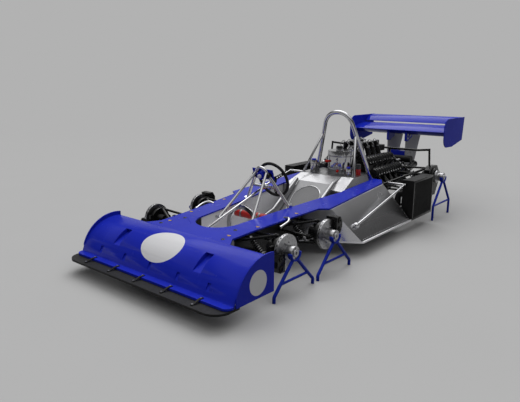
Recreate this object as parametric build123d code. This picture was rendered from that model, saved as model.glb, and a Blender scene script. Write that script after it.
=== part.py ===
"""Open wheel racing car with four small front hubs and two rear hubs, stripped of its wheels and
standing on six hub stands. Millimetres, +X forward, +Y to the driver's left, +Z up from the floor.

Stations along X are first written from the front axle, forward positive. The finished pieces are
then moved so that the origin lies on the floor below the middle of the overall length."""

import os
from math import atan2, cos, degrees, radians, sin, sqrt, tan

from build123d import *

# Overall layout
NOSE_TIP = 718.0            # front edge of the splitter, ahead of the front axle
AXLE_SPACING = 466.0        # first to second front axle
WHEELBASE = 2453.0          # first front axle to rear axle
WING_OVERHANG = 897.0       # rear axle back to the wing's trailing edge
BELL_LENGTH = 123.0         # rear axle forward to the engine's back
ENGINE_LENGTH = 540.0
TIMING_DEPTH = 30.0         # timing case between the engine and the rear bulkhead
TANK_LENGTH = 546.0         # rear bulkhead forward to the cockpit's rear end
FRONT_HUB_Z = 263.0         # front axle height on the stands
REAR_HUB_Z = 395.0          # rear axle height on the stands
UNDERSIDE_Z = 105.0         # flat underside of the tub
DECK_Z = 335.0              # top of the deck above the front axle
DECK_RISE = 0.0557          # rise of the deck per millimetre towards the rear
SEAT_GAP = 0.3              # gap between pieces that only rest beside each other
RUN_GAP = 0.3               # radial gap of a turning or sliding piece in its seat
MOVE_GAP = 5.0              # gap kept round a piece that swings or turns in the open

# Tub
FLOOR_THICK = 14.0
TUB_FRONT = 150.0           # front end of the tub, ahead of the front axle
FOOTBOX_HALF = 310.0        # half width of the narrow tub between the front wheels
POD_FOOT_HALF = 702.0       # half width of the side pods at the underside
POD_LEAN = 0.785            # inward lean of the pod's side per millimetre of height
POD_GAP = 146.0             # second front axle back to where the pod's front leaves the narrow tub
POD_SWEEP = 0.68            # how far the pod's front face runs back per millimetre outwards
POD_TAIL_RAKE = 0.30        # forward rake of the pod's tail per millimetre of height
BULKHEAD_THICK = 26.0
TANK_TOP = 480.0            # flat top behind the driver
TANK_HALF = 314.0           # half width of the tank behind the driver
REAR_X = -WHEELBASE
WING_TAIL = WHEELBASE + WING_OVERHANG
ENGINE_BACK = REAR_X + BELL_LENGTH
ENGINE_FRONT = ENGINE_BACK + ENGINE_LENGTH
TANK_BACK = ENGINE_FRONT + TIMING_DEPTH
COCKPIT_BACK = TANK_BACK + TANK_LENGTH
POD_NECK = -AXLE_SPACING - POD_GAP
POD_TAIL = TANK_BACK + 23.0

# Cockpit opening: share of the length between its straight front and its back, half width
COCKPIT_FRONT = -76.0
COCKPIT_LENGTH = COCKPIT_FRONT - COCKPIT_BACK
COCKPIT_SHAPE = [(0.0, 178.0), (0.273, 203.0), (0.668, 256.0), (1.0, TANK_HALF)]
COCKPIT_NOSE = 108.0        # rounded front end of the opening
RAIL_LIP = 10.0             # how far the rails overhang the tub's inner walls

# Seat and the arch over the driver's shins
SEAT_HALF = 172.0
SEAT_FOOT = (COCKPIT_FRONT - 0.7285 * COCKPIT_LENGTH, 150.0)
SEAT_RECLINE = 0.829
SEAT_TOP_X = COCKPIT_BACK - 36.0
SEAT_FRONT = COCKPIT_FRONT - 0.469 * COCKPIT_LENGTH
BOLSTER = 34.0
ARCH_X = COCKPIT_FRONT - 0.2056 * COCKPIT_LENGTH
ARCH_TOP = 402.0
ARCH_HALF = 158.0
ARCH_WIDTH = 34.0
ARCH_THICK = 14.0

# Blue rails along the tub: station, half width of the outer edge
RAIL_EDGE = [(182.0, 349.0), (-304.0, 380.0), (POD_NECK - 63, 424.0), (POD_NECK - 107, 491.0)]
RAIL_EDGE += [(POD_TAIL + 89, 446.0)]
RAIL_THICK = 12.0
RAIL_SEAM = -20.0           # joint between the nose's deck and the rails

# Nose
NOSE_HALF = 743.0
NOSE_BACK = 271.0           # trailing edge of the wide nose
NOSE_LIP = 592.0            # front lip of the nose
NOSE_SHEET = 8.0
NOSE_TOP_Z = 322.0
ENDPLATE_THICK = 8.0
ENDPLATE_TOP = 346.0
ENDPLATE_BACK = 253.0
ENDPLATE_FRONT = 573.0
ARCH_FILLET = 70.0          # where the nose's trailing edge turns into the rail
SPLITTER_INSET = 6.0        # how far the splitter ends inside the end plates
SPLITTER_BACK = 540.0
SPLITTER_THICK = 14.0
SPLITTER_CORNER = 105.0
LEDGE_REACH = 46.0          # how far the flat ledge stands out ahead of the ramp's foot
LEDGE_HEIGHT = 14.0
LEDGE_CORNER = 42.0
DUCT_WALL = 5.0
STAY_PITCH = 262.0
STAY_COUNT = 5
STAY_WIDTH = 16.0
STAY_THICK = 5.0
STAY_FOOT = 30.0            # length of a stay on the ledge

# Ducts sunk into the nose: offset, share of the ramp's run at the foot and at the mouth, width, depth
DUCTS = [(-395.0, 0.3, 0.64, 66.0, 26.0), (395.0, 0.3, 0.64, 66.0, 26.0)]
DUCTS += [((index - (STAY_COUNT - 1) / 2) * STAY_PITCH, 0.1, 0.22, 26.0, 10.0) for index in range(STAY_COUNT)]

# Roll hoops
HOOP_TUBE = 19.0            # radius of the main hoop's tube
HOOP_TOP = 1048.0
HOOP_FOOT = (TANK_BACK + 30.0, 300.0)
HOOP_SHOULDER = 111.0       # half width where the hoop's legs would meet its top
HOOP_LEAN = 134.0           # how far the hoop's top stands ahead of its feet
HOOP_BEND = 143.0
HOOP_STAY_TUBE = 11.0
HOOP_STAY_FOOT = (COCKPIT_BACK - 243.0, 265.0)
HOOP_STAY_HEIGHT = 813.0
FRONT_HOOP_TUBE = 13.0
FRONT_HOOP_TOP = 673.0
FRONT_HOOP_FOOT = (COCKPIT_FRONT - 0.4605 * COCKPIT_LENGTH, 218.0)
FRONT_HOOP_X = FRONT_HOOP_FOOT[0] + 103.0
FRONT_HOOP_BEND = 52.0
FRONT_BRACE_TUBE = 10.0
FRONT_BRACE_FOOT = (COCKPIT_FRONT - 0.122 * COCKPIT_LENGTH, 160.0)

# Gauges on the dash: position across, radius
GAUGES = [(0.0, 36.0), (66.0, 24.0), (-66.0, 24.0)]

# Steering
WHEEL_X, WHEEL_Z = FRONT_HOOP_FOOT[0] - 68.0, 542.0
WHEEL_RADIUS = 138.0
WHEEL_RIM = 12.0
COLUMN_FOOT_X = TUB_FRONT - BULKHEAD_THICK
COLUMN_FOOT_Z = 284.7       # where the column meets the front bulkhead
COLUMN_SLOPE = degrees(atan2(WHEEL_Z - COLUMN_FOOT_Z, COLUMN_FOOT_X - WHEEL_X))
COLUMN_RADIUS = 9.0
STEER_ARM = 115.0
STEER_PIN = 5.0
STEER_Z = 262.0
ROD_RADIUS = 8.0
ROD_TRAVEL = 32.0

# Front corners
KINGPIN_Y = 556.0
KINGPIN_RADIUS = 8.0
UPPER_JOINT_Z = 345.0
LOWER_JOINT_Z = 186.0
EYE_RADIUS = 17.0
EYE_HEIGHT = 16.0
FRONT_ARM_TUBE = 9.0
FRONT_ARM_SPREAD = 115.0
DAMPER_FOOT_Y = 470.0
FRONT_HUB_END = 716.0       # outer tip of the front hubs
FRONT_DISC_RADIUS = 106.0
FRONT_DISC_FACE = 644.0     # outer face of the front discs
DISC_THICK = 22.0
DISC_VENTS = 24
VENT_DEPTH = 40.0           # twice the depth of a vent below the disc's rim
SPINDLE_RADIUS = 24.0
COLLAR_RADIUS = 42.0
COLLAR_LENGTH = 46.0
BARREL_RADIUS = 37.0
TIP_RADIUS = 24.0           # nose that stands out of the collar's face
TIP_LENGTH = 8.0
HAT_RADIUS = 50.0
DRUM_RADIUS = 80.0          # cooling drum behind the front discs
DRUM_LENGTH = 28.0
HUB_BORE = 10.0
HUB_BORE_DEPTH = 50.0
CALIPER_LONG = 112.0        # reach of the front calipers along their discs past the hub's axis
CALIPER_SHORT = 8.0         # the same on the other side of the axis
CALIPER_REACH = 24.0        # how far the calipers stand out past their discs
WHEEL_PCD = 64.0
WHEEL_HOLES = 6
WHEEL_HOLE_RADIUS = 5.0
WHEEL_HOLE_DEPTH = 30.0

# Rear corners
REAR_HUB_END = 704.0
REAR_FLANGE_RADIUS = 62.0
REAR_FLANGE_FACE = 636.0
UPRIGHT_RADIUS = 118.0
UPRIGHT_SHAPE = [(1.0, 0.62), (0.45, 0.9), (-0.5, 0.86), (-1.0, 0.2), (-0.95, -0.7)]
UPRIGHT_SHAPE += [(-0.4, -1.62), (0.5, -1.62)]
UPRIGHT_INNER = 545.0
UPRIGHT_OUTER = 616.0
ANTI_ROLL_TUBE = 11.0
DROP_LINK = 10.0

# Stands
STAND_TUBE = 11.0
STAND_SPREAD = 203.0        # half distance between a stand's feet
STAND_CUP_WALL = 9.0
STAND_CUP_WIDTH = 30.0
STAND_CUP_EAR = 2.0         # how far the cup's ears rise above the hub's axis
STAND_SETBACK = -2.0        # from the hub's tip in to the cup's outer face
FRONT_KNEE_Z = 36.0
FRONT_BAR_Z = 98.0
REAR_KNEE_Z = 140.0
REAR_BAR_Z = 140.0

# Engine and gearbox
CRANK_Z = 288.0
BANK_WIDTH = 170.0
BANK_HEIGHT = 245.0
HEAD_WIDTH = 205.0
HEAD_HEIGHT = 85.0
CAM_RADIUS = 40.0
CAM_OFFSET = 68.0
CYLINDER_PITCH = 108.0
CYLINDERS = 4
TRUMPET_TOP = 728.0
TRUMPET_TOP_Y = 72.0
TRUMPET_RADIUS = 22.0
TRUMPET_MOUTH = 31.0
GEARBOX_BACK = REAR_X - 447.0
GEARBOX_TOP = 440.0
DIFF_RADIUS = 112.0
DIFF_HALF = 130.0

# Rear wing
WING_HALF = 550.0
WING_PLATE = 8.0
WING_TAIL_Z = 925.0
WING_NOSE = (-WING_TAIL + 532.0, WING_TAIL_Z - 135.0)
WING_SLOT = (-WING_TAIL + 210.0, WING_TAIL_Z - 87.0)
WING_BELLY = 52.0           # how far the main plane's underside hangs below its nose
WING_FIN_CORNER = 95.0
PYLON_Y = 105.0
PYLON_THICK = 14.0
GUSSET_WALL = 5.0

OIL_TANK_RADIUS = 118.0
OIL_TANK_HEIGHT = 205.0

# Canisters on the flat top behind the driver: ahead of the rear bulkhead, offset, radius, height
CANISTERS = [(260.0, -180.0, 32.0, 110.0), (175.0, -205.0, 26.0, 80.0), (280.0, 200.0, 24.0, 70.0)]

# Radiators
RADIATOR_LENGTH = 430.0
RADIATOR_FRONT = POD_TAIL - 5.0
RADIATOR_BACK = RADIATOR_FRONT - RADIATOR_LENGTH
RADIATOR_OUTER = 700.0
RADIATOR_INNER = 600.0
RADIATOR_TOP = 458.0

COCKPIT_EDGE = [(COCKPIT_FRONT - share * COCKPIT_LENGTH, half) for share, half in COCKPIT_SHAPE]
FRONT_AXLE_X = (WING_TAIL - NOSE_TIP) / 2
TOP_OF_FLOOR = UNDERSIDE_Z + FLOOR_THICK
SIDES = {"left": 1, "right": -1}
FRONT_AXLES = {"1": 0.0, "2": -AXLE_SPACING}

pieces = {}


def deck_z(x):
    """Height of the deck's top face at a station."""
    return DECK_Z - DECK_RISE * x


def under_deck(x):
    """Height of the tub below the deck's sheet at a station."""
    return deck_z(x) - RAIL_THICK


def rod(start, end, radius):
    """Round bar between two points."""
    start, end = Vector(*start), Vector(*end)
    return Solid.make_cylinder(radius, (end - start).length, Plane(origin=start, z_dir=end - start))


def bent_tube(points, radius, bend):
    """Round bar along straight runs joined by arcs."""
    path = FilletPolyline(*points, radius=bend)
    return sweep(Plane(origin=path @ 0, z_dir=path % 0) * Circle(radius), path=path).solid()


def box(low, high):
    """Box between two corners."""
    size = [b - a for a, b in zip(low, high)]
    return Solid.make_box(*size).moved(Location(tuple(low)))


def plate(points, plane, thickness):
    """Flat plate with straight sides on a plane."""
    return extrude(plane * make_face(Polyline(*points, close=True)), thickness).solid()


def turned(profile, place):
    """Body turned about the Y axis: the profile gives radius and Y."""
    face = make_face(Polyline(*profile, close=True))
    return revolve(face, Axis.Y).solid().moved(Location(place))


def along_y(y=0.0):
    """Plane for outlines in X and Z, facing +Y."""
    return Plane(origin=(0, y, 0), x_dir=(-1, 0, 0), z_dir=(0, 1, 0))


def side_plate(points, y, thickness):
    """Plate with an outline in X and Z, from y to y plus its thickness."""
    return plate([(-x, z) for x, z in points], along_y(y), thickness)


def ring(place, outer, inner, height):
    """Flat ring with a vertical axis, centred on a place."""
    x, y, z = place
    eye = Solid.make_cylinder(outer, height, Plane((x, y, z - height / 2)))
    return eye - Solid.make_cylinder(inner, height, Plane((x, y, z - height / 2)))


def mirrored(shape):
    """The same piece on the car's right side."""
    return mirror(shape, about=Plane.XZ).solid()


def both_sides(shape):
    """A left piece and its twin on the right."""
    return [shape.solid(), mirrored(shape)]


def join(*shapes):
    """One solid from pieces that meet."""
    total = shapes[0]
    for shape in shapes[1:]:
        total = total + shape
    return total.solid()


def add(name, *solids):
    """Adds a node of one or more solids."""
    pieces.setdefault(name, []).extend(solids)


def cockpit_half(x):
    """Half width of the cockpit opening at a station."""
    for (front, wide), (back, wider) in zip(COCKPIT_EDGE, COCKPIT_EDGE[1:]):
        if back <= x <= front:
            return wide + (front - x) / (front - back) * (wider - wide)
    return COCKPIT_EDGE[0][1]


def cockpit_prism(grow, low, high, nose_x=COCKPIT_NOSE):
    """Upright prism in the cockpit's plan, grown sideways."""
    edge = [(x, half + grow) for x, half in COCKPIT_EDGE]
    nose_half = edge[0][1]
    with BuildLine() as outline:
        Polyline(edge[0], *edge[1:])
        Polyline(*[(x, -half) for x, half in reversed(edge)])
        Line(edge[-1], (edge[-1][0], -edge[-1][1]))
        ThreePointArc((edge[0][0], -nose_half), (nose_x, 0), edge[0])
    face = make_face(outline.edges())
    return extrude(Plane((0, 0, low)) * face, high - low).solid()


def above_deck(shape):
    """Cuts a piece off where it meets the deck's top face."""
    slope = Plane(origin=(0, 0, DECK_Z), x_dir=(1, 0, -DECK_RISE), z_dir=(DECK_RISE, 0, 1))
    return split(shape, bisect_by=slope, keep=Keep.TOP)


def below_deck(shape, drop):
    """Cuts a piece off at a plane that lies under the deck's top face."""
    slope = Plane(origin=(0, 0, DECK_Z - drop), x_dir=(1, 0, -DECK_RISE), z_dir=(DECK_RISE, 0, 1))
    return split(shape, bisect_by=slope, keep=Keep.BOTTOM)


def deck_sheet(points, cut=None):
    """Sheet that lies in the deck, RAIL_THICK thick, with a plan outline."""
    tall = extrude(Plane((0, 0, UNDERSIDE_Z)) * make_face(Polyline(*points, close=True)), 2 * DECK_Z)
    if cut is not None:
        tall = tall - cut
    sheet = below_deck(tall.solid(), 0)
    slope = Plane(
        origin=(0, 0, DECK_Z - RAIL_THICK), x_dir=(1, 0, -DECK_RISE), z_dir=(DECK_RISE, 0, 1)
    )
    return split(sheet, bisect_by=slope, keep=Keep.TOP)


def tub():
    """Floor pan, two side boxes, front bulkhead and the tank behind the driver."""
    pod_front_x = POD_NECK - POD_SWEEP * (POD_FOOT_HALF - FOOTBOX_HALF)
    half = [
        (TUB_FRONT, FOOTBOX_HALF),
        (POD_NECK, FOOTBOX_HALF),
        (pod_front_x, POD_FOOT_HALF),
        (POD_TAIL, POD_FOOT_HALF),
        (POD_TAIL, TANK_HALF),
        (TANK_BACK, TANK_HALF),
    ]
    outline = half + [(x, -y) for x, y in reversed(half)]
    add("tub_floor", plate(outline, Plane((0, 0, UNDERSIDE_Z)), FLOOR_THICK))

    wall_top = deck_z(TANK_BACK)
    narrow = box((POD_NECK, 0, TOP_OF_FLOOR), (TUB_FRONT - BULKHEAD_THICK, FOOTBOX_HALF, wall_top))
    crown_half = POD_FOOT_HALF - POD_LEAN * (wall_top - UNDERSIDE_Z)
    section = [
        (0, TOP_OF_FLOOR),
        (POD_FOOT_HALF - POD_LEAN * FLOOR_THICK, TOP_OF_FLOOR),
        (crown_half, wall_top),
        (0, wall_top),
    ]
    cross = Plane(origin=(TANK_BACK, 0, 0), x_dir=(0, 1, 0), z_dir=(1, 0, 0))
    pod = plate(section, cross, POD_NECK - TANK_BACK + FOOTBOX_HALF)
    front_face = Plane(origin=(POD_NECK, FOOTBOX_HALF, 0), x_dir=(0, 0, 1), z_dir=(1, POD_SWEEP, 0))
    pod = split(pod, bisect_by=front_face, keep=Keep.BOTTOM)
    tail_face = Plane(
        origin=(POD_TAIL, 0, UNDERSIDE_Z), x_dir=(0, 1, 0), z_dir=(-1, 0, POD_TAIL_RAKE)
    )
    pod = split(pod, bisect_by=tail_face, keep=Keep.BOTTOM)
    side = below_deck(join(narrow, pod), RAIL_THICK)
    cavity = cockpit_prism(RAIL_LIP, UNDERSIDE_Z, TANK_TOP, TUB_FRONT)
    tank_room = box((TANK_BACK * 2, 0, UNDERSIDE_Z), (COCKPIT_BACK + 1, TANK_HALF + RAIL_LIP, TANK_TOP))
    left = (side - cavity - tank_room).solid()
    for axle, x in FRONT_AXLES.items():
        arm_x = x + (STEER_ARM if axle == "2" else -STEER_ARM)
        hole = rod((arm_x, FOOTBOX_HALF - 60, STEER_Z), (arm_x, FOOTBOX_HALF + 1, STEER_Z), ROD_RADIUS + 1)
        left = (left - hole).solid()
    add("tub_side_left", left)
    add("tub_side_right", mirrored(left))

    bulkhead = box(
        (TUB_FRONT - BULKHEAD_THICK, -FOOTBOX_HALF, TOP_OF_FLOOR), (TUB_FRONT, FOOTBOX_HALF, wall_top)
    )
    bulkhead = below_deck(bulkhead, RAIL_THICK).solid()
    fall = radians(COLUMN_SLOPE)
    boss_x = TUB_FRONT - BULKHEAD_THICK
    boss_z = WHEEL_Z - (boss_x - WHEEL_X) * tan(fall)
    along = Plane(origin=(boss_x, 0, boss_z), z_dir=(cos(fall), 0, -sin(fall)))
    boss = extrude(along.offset(-26) * Circle(COLUMN_RADIUS + 8), 40)
    bore = extrude(along.offset(-40) * Circle(COLUMN_RADIUS + RUN_GAP), 50)
    add("front_bulkhead", (join(bulkhead, boss) - bore).solid())

    tank_half = TANK_HALF + RAIL_LIP - SEAT_GAP
    back = box((TANK_BACK, -tank_half, TOP_OF_FLOOR), (COCKPIT_BACK, tank_half, wall_top))
    back = below_deck(back, RAIL_THICK)
    shoulder = TANK_HALF - RAIL_LIP
    notch = HOOP_FOOT[0] + 2 * HOOP_TUBE + MOVE_GAP
    waist = HOOP_FOOT[1] - 2 * HOOP_TUBE
    lower = [(TANK_BACK, waist), (notch, waist), (notch + 6, shoulder)]
    lower += [(COCKPIT_BACK - 4, shoulder), (COCKPIT_BACK - 30, 115)]
    upper = [(TANK_BACK, waist - 16), (notch, waist - 14), (notch + 6, 278)]
    upper += [(COCKPIT_BACK - 227, 278), (COCKPIT_BACK - 188, 115)]
    rims = []
    for rim in (lower, upper):
        base = [(x, y, under_deck(x) - 1 if rim is lower else TANK_TOP) for x, y in rim]
        loop = base + [(x, -y, z) for x, y, z in reversed(base)]
        rims.append(Wire.make_polygon([Vector(*p) for p in loop], close=True))
    hump = Solid.make_loft(rims, ruled=True)
    drop = 12 + SEAT_GAP
    crown = [(SEAT_TOP_X, seat_z(SEAT_TOP_X)), (upper[-1][0], TANK_TOP), (upper[-1][0] - 60, TANK_TOP)]
    crown += [(upper[-1][0] - 60, under_deck(SEAT_TOP_X) - 1), (SEAT_TOP_X, under_deck(SEAT_TOP_X) - 1)]
    brow = side_plate(crown, -SEAT_HALF, 2 * SEAT_HALF)
    for side in (1, -1):
        corner = Vector(upper[-1][0], side * upper[-1][1], TANK_TOP)
        one = Vector(upper[-2][0], side * upper[-2][1], TANK_TOP) - corner
        two = Vector(SEAT_TOP_X, side * SEAT_HALF, seat_z(SEAT_TOP_X)) - corner
        normal = one.cross(two)
        face = Plane(origin=corner, z_dir=normal if normal.Z > 0 else normal * -1)
        brow = split(brow, bisect_by=face, keep=Keep.BOTTOM)
    ramp_x = SEAT_FOOT[0] + (SEAT_FOOT[1] - drop - TOP_OF_FLOOR) / SEAT_RECLINE
    ramp = [(ramp_x, TOP_OF_FLOOR), (SEAT_TOP_X, seat_z(SEAT_TOP_X) - drop), (SEAT_TOP_X, TOP_OF_FLOOR)]
    slope = side_plate(ramp, -SEAT_HALF, 2 * SEAT_HALF)
    add("tank_cover", join(back, hump, brow, slope))


def sunk_ducts(shell, ramp, inside):
    """Sinks the ducts into the nose's ramp, each with a floor that falls away towards its mouth."""
    for y, foot, mouth, width, depth in DUCTS:
        low, high = [Vector(ramp @ share) for share in (foot, mouth)]
        rise = (high - low).normalized()
        inward = Vector(rise.Y, -rise.X)
        back = high + inward * depth
        slant = [low - rise * DUCT_WALL, high + rise * DUCT_WALL]
        slant += [back + (rise + inward) * DUCT_WALL, low + inward * DUCT_WALL]
        side = along_y(y - width / 2 - DUCT_WALL)
        liner = plate([(p.X, p.Y) for p in slant], side, width + 2 * DUCT_WALL)
        shell = join(shell, (liner & inside).solid())
        room = [low, low - inward * depth, high - inward * depth, back]
        shell = (shell - plate([(p.X, p.Y) for p in room], along_y(y - width / 2), width)).solid()
    return shell


def nose():
    """Wide nose with its deck, end plates, splitter and stays."""
    span = NOSE_HALF - ENDPLATE_THICK
    foot_z = UNDERSIDE_Z + 1
    with BuildSketch(along_y(-span)) as ramp:
        with BuildLine():
            outer = [(-NOSE_LIP, foot_z), (-490, 262), (-NOSE_BACK, NOSE_TOP_Z)]
            inner = [(x + NOSE_SHEET, z - NOSE_SHEET) for x, z in outer]
            inner[0] = (-NOSE_LIP + NOSE_SHEET, foot_z)
            inner[2] = (-NOSE_BACK, NOSE_TOP_Z - NOSE_SHEET)
            outer_arc = ThreePointArc(*outer)
            Line(outer[2], inner[2])
            ThreePointArc(*inner)
            Line(inner[0], outer[0])
        make_face()
    shell = extrude(ramp.sketch, 2 * span).solid()
    heel = (outer[2][0], foot_z)
    fill = make_face([outer_arc, Line(outer[2], heel), Line(heel, outer[0])])
    shell = sunk_ducts(shell, outer_arc, extrude(along_y(-span) * fill, 2 * span))
    ledge_x = NOSE_LIP + LEDGE_REACH
    ledge_z = foot_z + LEDGE_HEIGHT
    ledge = box((NOSE_LIP - NOSE_SHEET, -span, foot_z), (ledge_x, span, ledge_z))
    front = [e for e in ledge.edges().filter_by(Axis.Z) if e.center().X > NOSE_LIP]
    shell = join(shell, fillet(front, LEDGE_CORNER))
    half = [(NOSE_BACK + 6, RAIL_EDGE[0][1] + ARCH_FILLET), (RAIL_EDGE[0][0], RAIL_EDGE[0][1])]
    half += [(RAIL_SEAM, 356.0)]
    outline = half + [(x, -y) for x, y in reversed(half)]
    opening = cockpit_prism(0, UNDERSIDE_Z, 2 * DECK_Z)
    deck = deck_sheet(outline, opening).solid()
    add("nose_shell", join(shell, deck))

    curve = [(ENDPLATE_FRONT, UNDERSIDE_Z + 60), (478, 293), (ENDPLATE_BACK, ENDPLATE_TOP)]
    with BuildSketch(along_y(span)) as side:
        with BuildLine():
            a, b, c = [(-x, z) for x, z in curve]
            ThreePointArc(a, b, c)
            Polyline(c, (-ENDPLATE_BACK, foot_z), (-ENDPLATE_FRONT, foot_z), a)
        make_face()
    add("nose_endplates", *both_sides(extrude(side.sketch, ENDPLATE_THICK)))

    half = NOSE_HALF - SPLITTER_INSET
    blade = box(
        (SPLITTER_BACK, -half, foot_z - SPLITTER_THICK), (NOSE_TIP, half, foot_z)
    )
    corners = [e for e in blade.edges().filter_by(Axis.Z) if e.center().X > NOSE_LIP]
    add("splitter", fillet(corners, SPLITTER_CORNER).solid())
    for index in range(STAY_COUNT):
        y = (index - (STAY_COUNT - 1) / 2) * STAY_PITCH
        strap = [(ledge_x - STAY_FOOT, ledge_z), (ledge_x - STAY_FOOT, ledge_z + STAY_THICK)]
        strap += [(ledge_x + 4, ledge_z + STAY_THICK), (ledge_x + 44, foot_z + STAY_THICK)]
        strap += [(ledge_x + 60, foot_z + STAY_THICK), (ledge_x + 60, foot_z)]
        strap += [(ledge_x + 42, foot_z), (ledge_x + 1, ledge_z)]
        add("splitter_stays", side_plate(strap, y - STAY_WIDTH / 2, STAY_WIDTH))


def rails():
    """Blue top rails along both sides of the cockpit."""
    half = [(RAIL_SEAM - SEAT_GAP, 356.0)] + RAIL_EDGE[1:]
    inner_back = (TANK_BACK, TANK_HALF - 60)
    outline = half + [(TANK_BACK + 10, 392), inner_back, (COCKPIT_BACK - 1, TANK_HALF - 60)]
    outline += [(RAIL_SEAM - SEAT_GAP, 100)]
    opening = cockpit_prism(0, UNDERSIDE_Z, 2 * DECK_Z)
    notch = HOOP_FOOT[0] + 2 * HOOP_TUBE + MOVE_GAP - SEAT_GAP
    waist = HOOP_FOOT[1] - 2 * HOOP_TUBE + SEAT_GAP
    wide = box((notch, 0, UNDERSIDE_Z), (COCKPIT_BACK, TANK_HALF - RAIL_LIP + SEAT_GAP, 2 * DECK_Z))
    slim = box((TANK_BACK - 1, 0, UNDERSIDE_Z), (notch, waist, 2 * DECK_Z))
    add("cockpit_rails", *both_sides(deck_sheet(outline, opening + wide + slim)))


def roll_hoops():
    """Main hoop with its stays and the front hoop with its braces."""
    foot_x, foot_y = HOOP_FOOT
    top_z = HOOP_TOP - HOOP_TUBE
    foot_z = deck_z(foot_x) - HOOP_TUBE
    half = [(foot_x, foot_y, foot_z), (foot_x + HOOP_LEAN, HOOP_SHOULDER, top_z)]
    hoop = bent_tube(half + [(x, -y, z) for x, y, z in reversed(half)], HOOP_TUBE, HOOP_BEND)
    add("main_hoop", above_deck(hoop).solid())
    share = (HOOP_STAY_HEIGHT - foot_z) / (top_z - foot_z)
    leg_y = foot_y + share * (HOOP_SHOULDER - foot_y)
    leg_x = foot_x + share * HOOP_LEAN
    stay_x, stay_y = HOOP_STAY_FOOT
    stay = rod((stay_x, stay_y, TANK_TOP), (leg_x + HOOP_TUBE, leg_y, HOOP_STAY_HEIGHT), HOOP_STAY_TUBE)
    stay = split(stay, bisect_by=Plane((0, 0, TANK_TOP)), keep=Keep.TOP)
    add("hoop_stays", *both_sides(stay - pieces["main_hoop"][0]))

    foot_x, foot_y = FRONT_HOOP_FOOT
    foot_z = deck_z(foot_x) - FRONT_HOOP_TUBE
    apex_z = FRONT_HOOP_TOP + 30
    hoop = bent_tube(
        [(foot_x, foot_y, foot_z), (FRONT_HOOP_X, 0, apex_z), (foot_x, -foot_y, foot_z)],
        FRONT_HOOP_TUBE,
        FRONT_HOOP_BEND,
    )
    for side in (1, -1):
        socket = rod((foot_x, side * foot_y, foot_z), (foot_x + 6, side * (foot_y - 4), foot_z + 32), 21)
        hoop = join(hoop, socket)
    hoop = above_deck(hoop).solid()

    def on_leg(z):
        share = (apex_z - z) / (apex_z - foot_z)
        return FRONT_HOOP_X + share * (foot_x - FRONT_HOOP_X), share * foot_y

    brace_x, brace_y = FRONT_BRACE_FOOT
    start_z = FRONT_HOOP_TOP - 50
    start_x, start_y = on_leg(start_z)
    for side in (1, -1):
        brace = rod((start_x, side * start_y, start_z), (brace_x, side * brace_y, 300), FRONT_BRACE_TUBE)
        lug = rod((brace_x, side * (brace_y - 14), 300), (brace_x, side * 190, 300), FRONT_BRACE_TUBE)
        hoop = join(hoop, brace, lug)
    fall = radians(COLUMN_SLOPE)
    rake = (foot_x - FRONT_HOOP_X) / (apex_z - foot_z)
    bush_z = (WHEEL_Z - (FRONT_HOOP_X + rake * apex_z - WHEEL_X) * tan(fall)) / (1 - rake * tan(fall))
    bar_x, bar_y = on_leg(bush_z)
    bar = rod((bar_x, -bar_y, bush_z), (bar_x, bar_y, bush_z), FRONT_BRACE_TUBE)
    along = Plane(origin=(bar_x - 16, 0, bush_z + 16 * tan(fall)), z_dir=(cos(fall), 0, -sin(fall)))
    bush = extrude(along * Circle(COLUMN_RADIUS + 11), 32)
    bore = extrude(along.offset(-20) * Circle(COLUMN_RADIUS + RUN_GAP), 80)
    add("front_hoop", (join(hoop, bar, bush) - bore).solid())

    panel_z = FRONT_HOOP_TOP - 73
    lean = atan2(FRONT_HOOP_X - foot_x, apex_z - foot_z)
    back = Vector(-cos(lean), 0, sin(lean))
    panel_x = on_leg(panel_z)[0]
    face = Plane(
        origin=Vector(panel_x, 0, panel_z) + back * (FRONT_HOOP_TUBE + SEAT_GAP), x_dir=(0, 1, 0), z_dir=back
    )
    dash = extrude(face * Rectangle(200, 84), 4).solid()
    for y, radius in GAUGES:
        dash = join(dash, extrude(face * Pos(y, 0) * Circle(radius), 16))
    dash = join(dash, extrude(face.offset(-40) * Circle(GAUGES[0][1] - 4), 50))
    add("dash_panel", dash)


def steering():
    """Steering wheel, column, track rods of both front axles."""
    fall = radians(COLUMN_SLOPE)
    axis = Vector(cos(fall), 0, -sin(fall))
    hub = Plane(origin=(WHEEL_X, 0, WHEEL_Z), x_dir=(0, 1, 0), z_dir=axis)
    rim = Solid.make_torus(WHEEL_RADIUS, WHEEL_RIM, hub)
    boss = extrude(hub * Circle(34), 18).solid()
    wheel = boss
    for turn in (30, 150, 270):
        spoke = extrude(hub * Rot(0, 0, turn) * Pos(WHEEL_RADIUS / 2, 0) * Rectangle(WHEEL_RADIUS, 24), 4)
        wheel = join(wheel, spoke)
    add("steering_wheel", join(wheel, rim))
    length = (COLUMN_FOOT_X - WHEEL_X) / cos(fall) - 18
    shaft = extrude(hub.offset(18) * Circle(COLUMN_RADIUS), length - 2).solid()
    add("steering_column", shaft)
    for axle, x in FRONT_AXLES.items():
        arm_x = x + (STEER_ARM if axle == "2" else -STEER_ARM)
        eye = ring((arm_x, KINGPIN_Y, STEER_Z), STEER_PIN + MOVE_GAP + 7, STEER_PIN + MOVE_GAP, 12)
        inner_end = FOOTBOX_HALF - 60 + ROD_TRAVEL + 4
        eye_y = KINGPIN_Y - STEER_PIN - MOVE_GAP - 2
        link = rod((arm_x, inner_end, STEER_Z), (arm_x, eye_y, STEER_Z), ROD_RADIUS)
        add("track_rods_" + axle, *both_sides(join(eye, link)))


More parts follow.
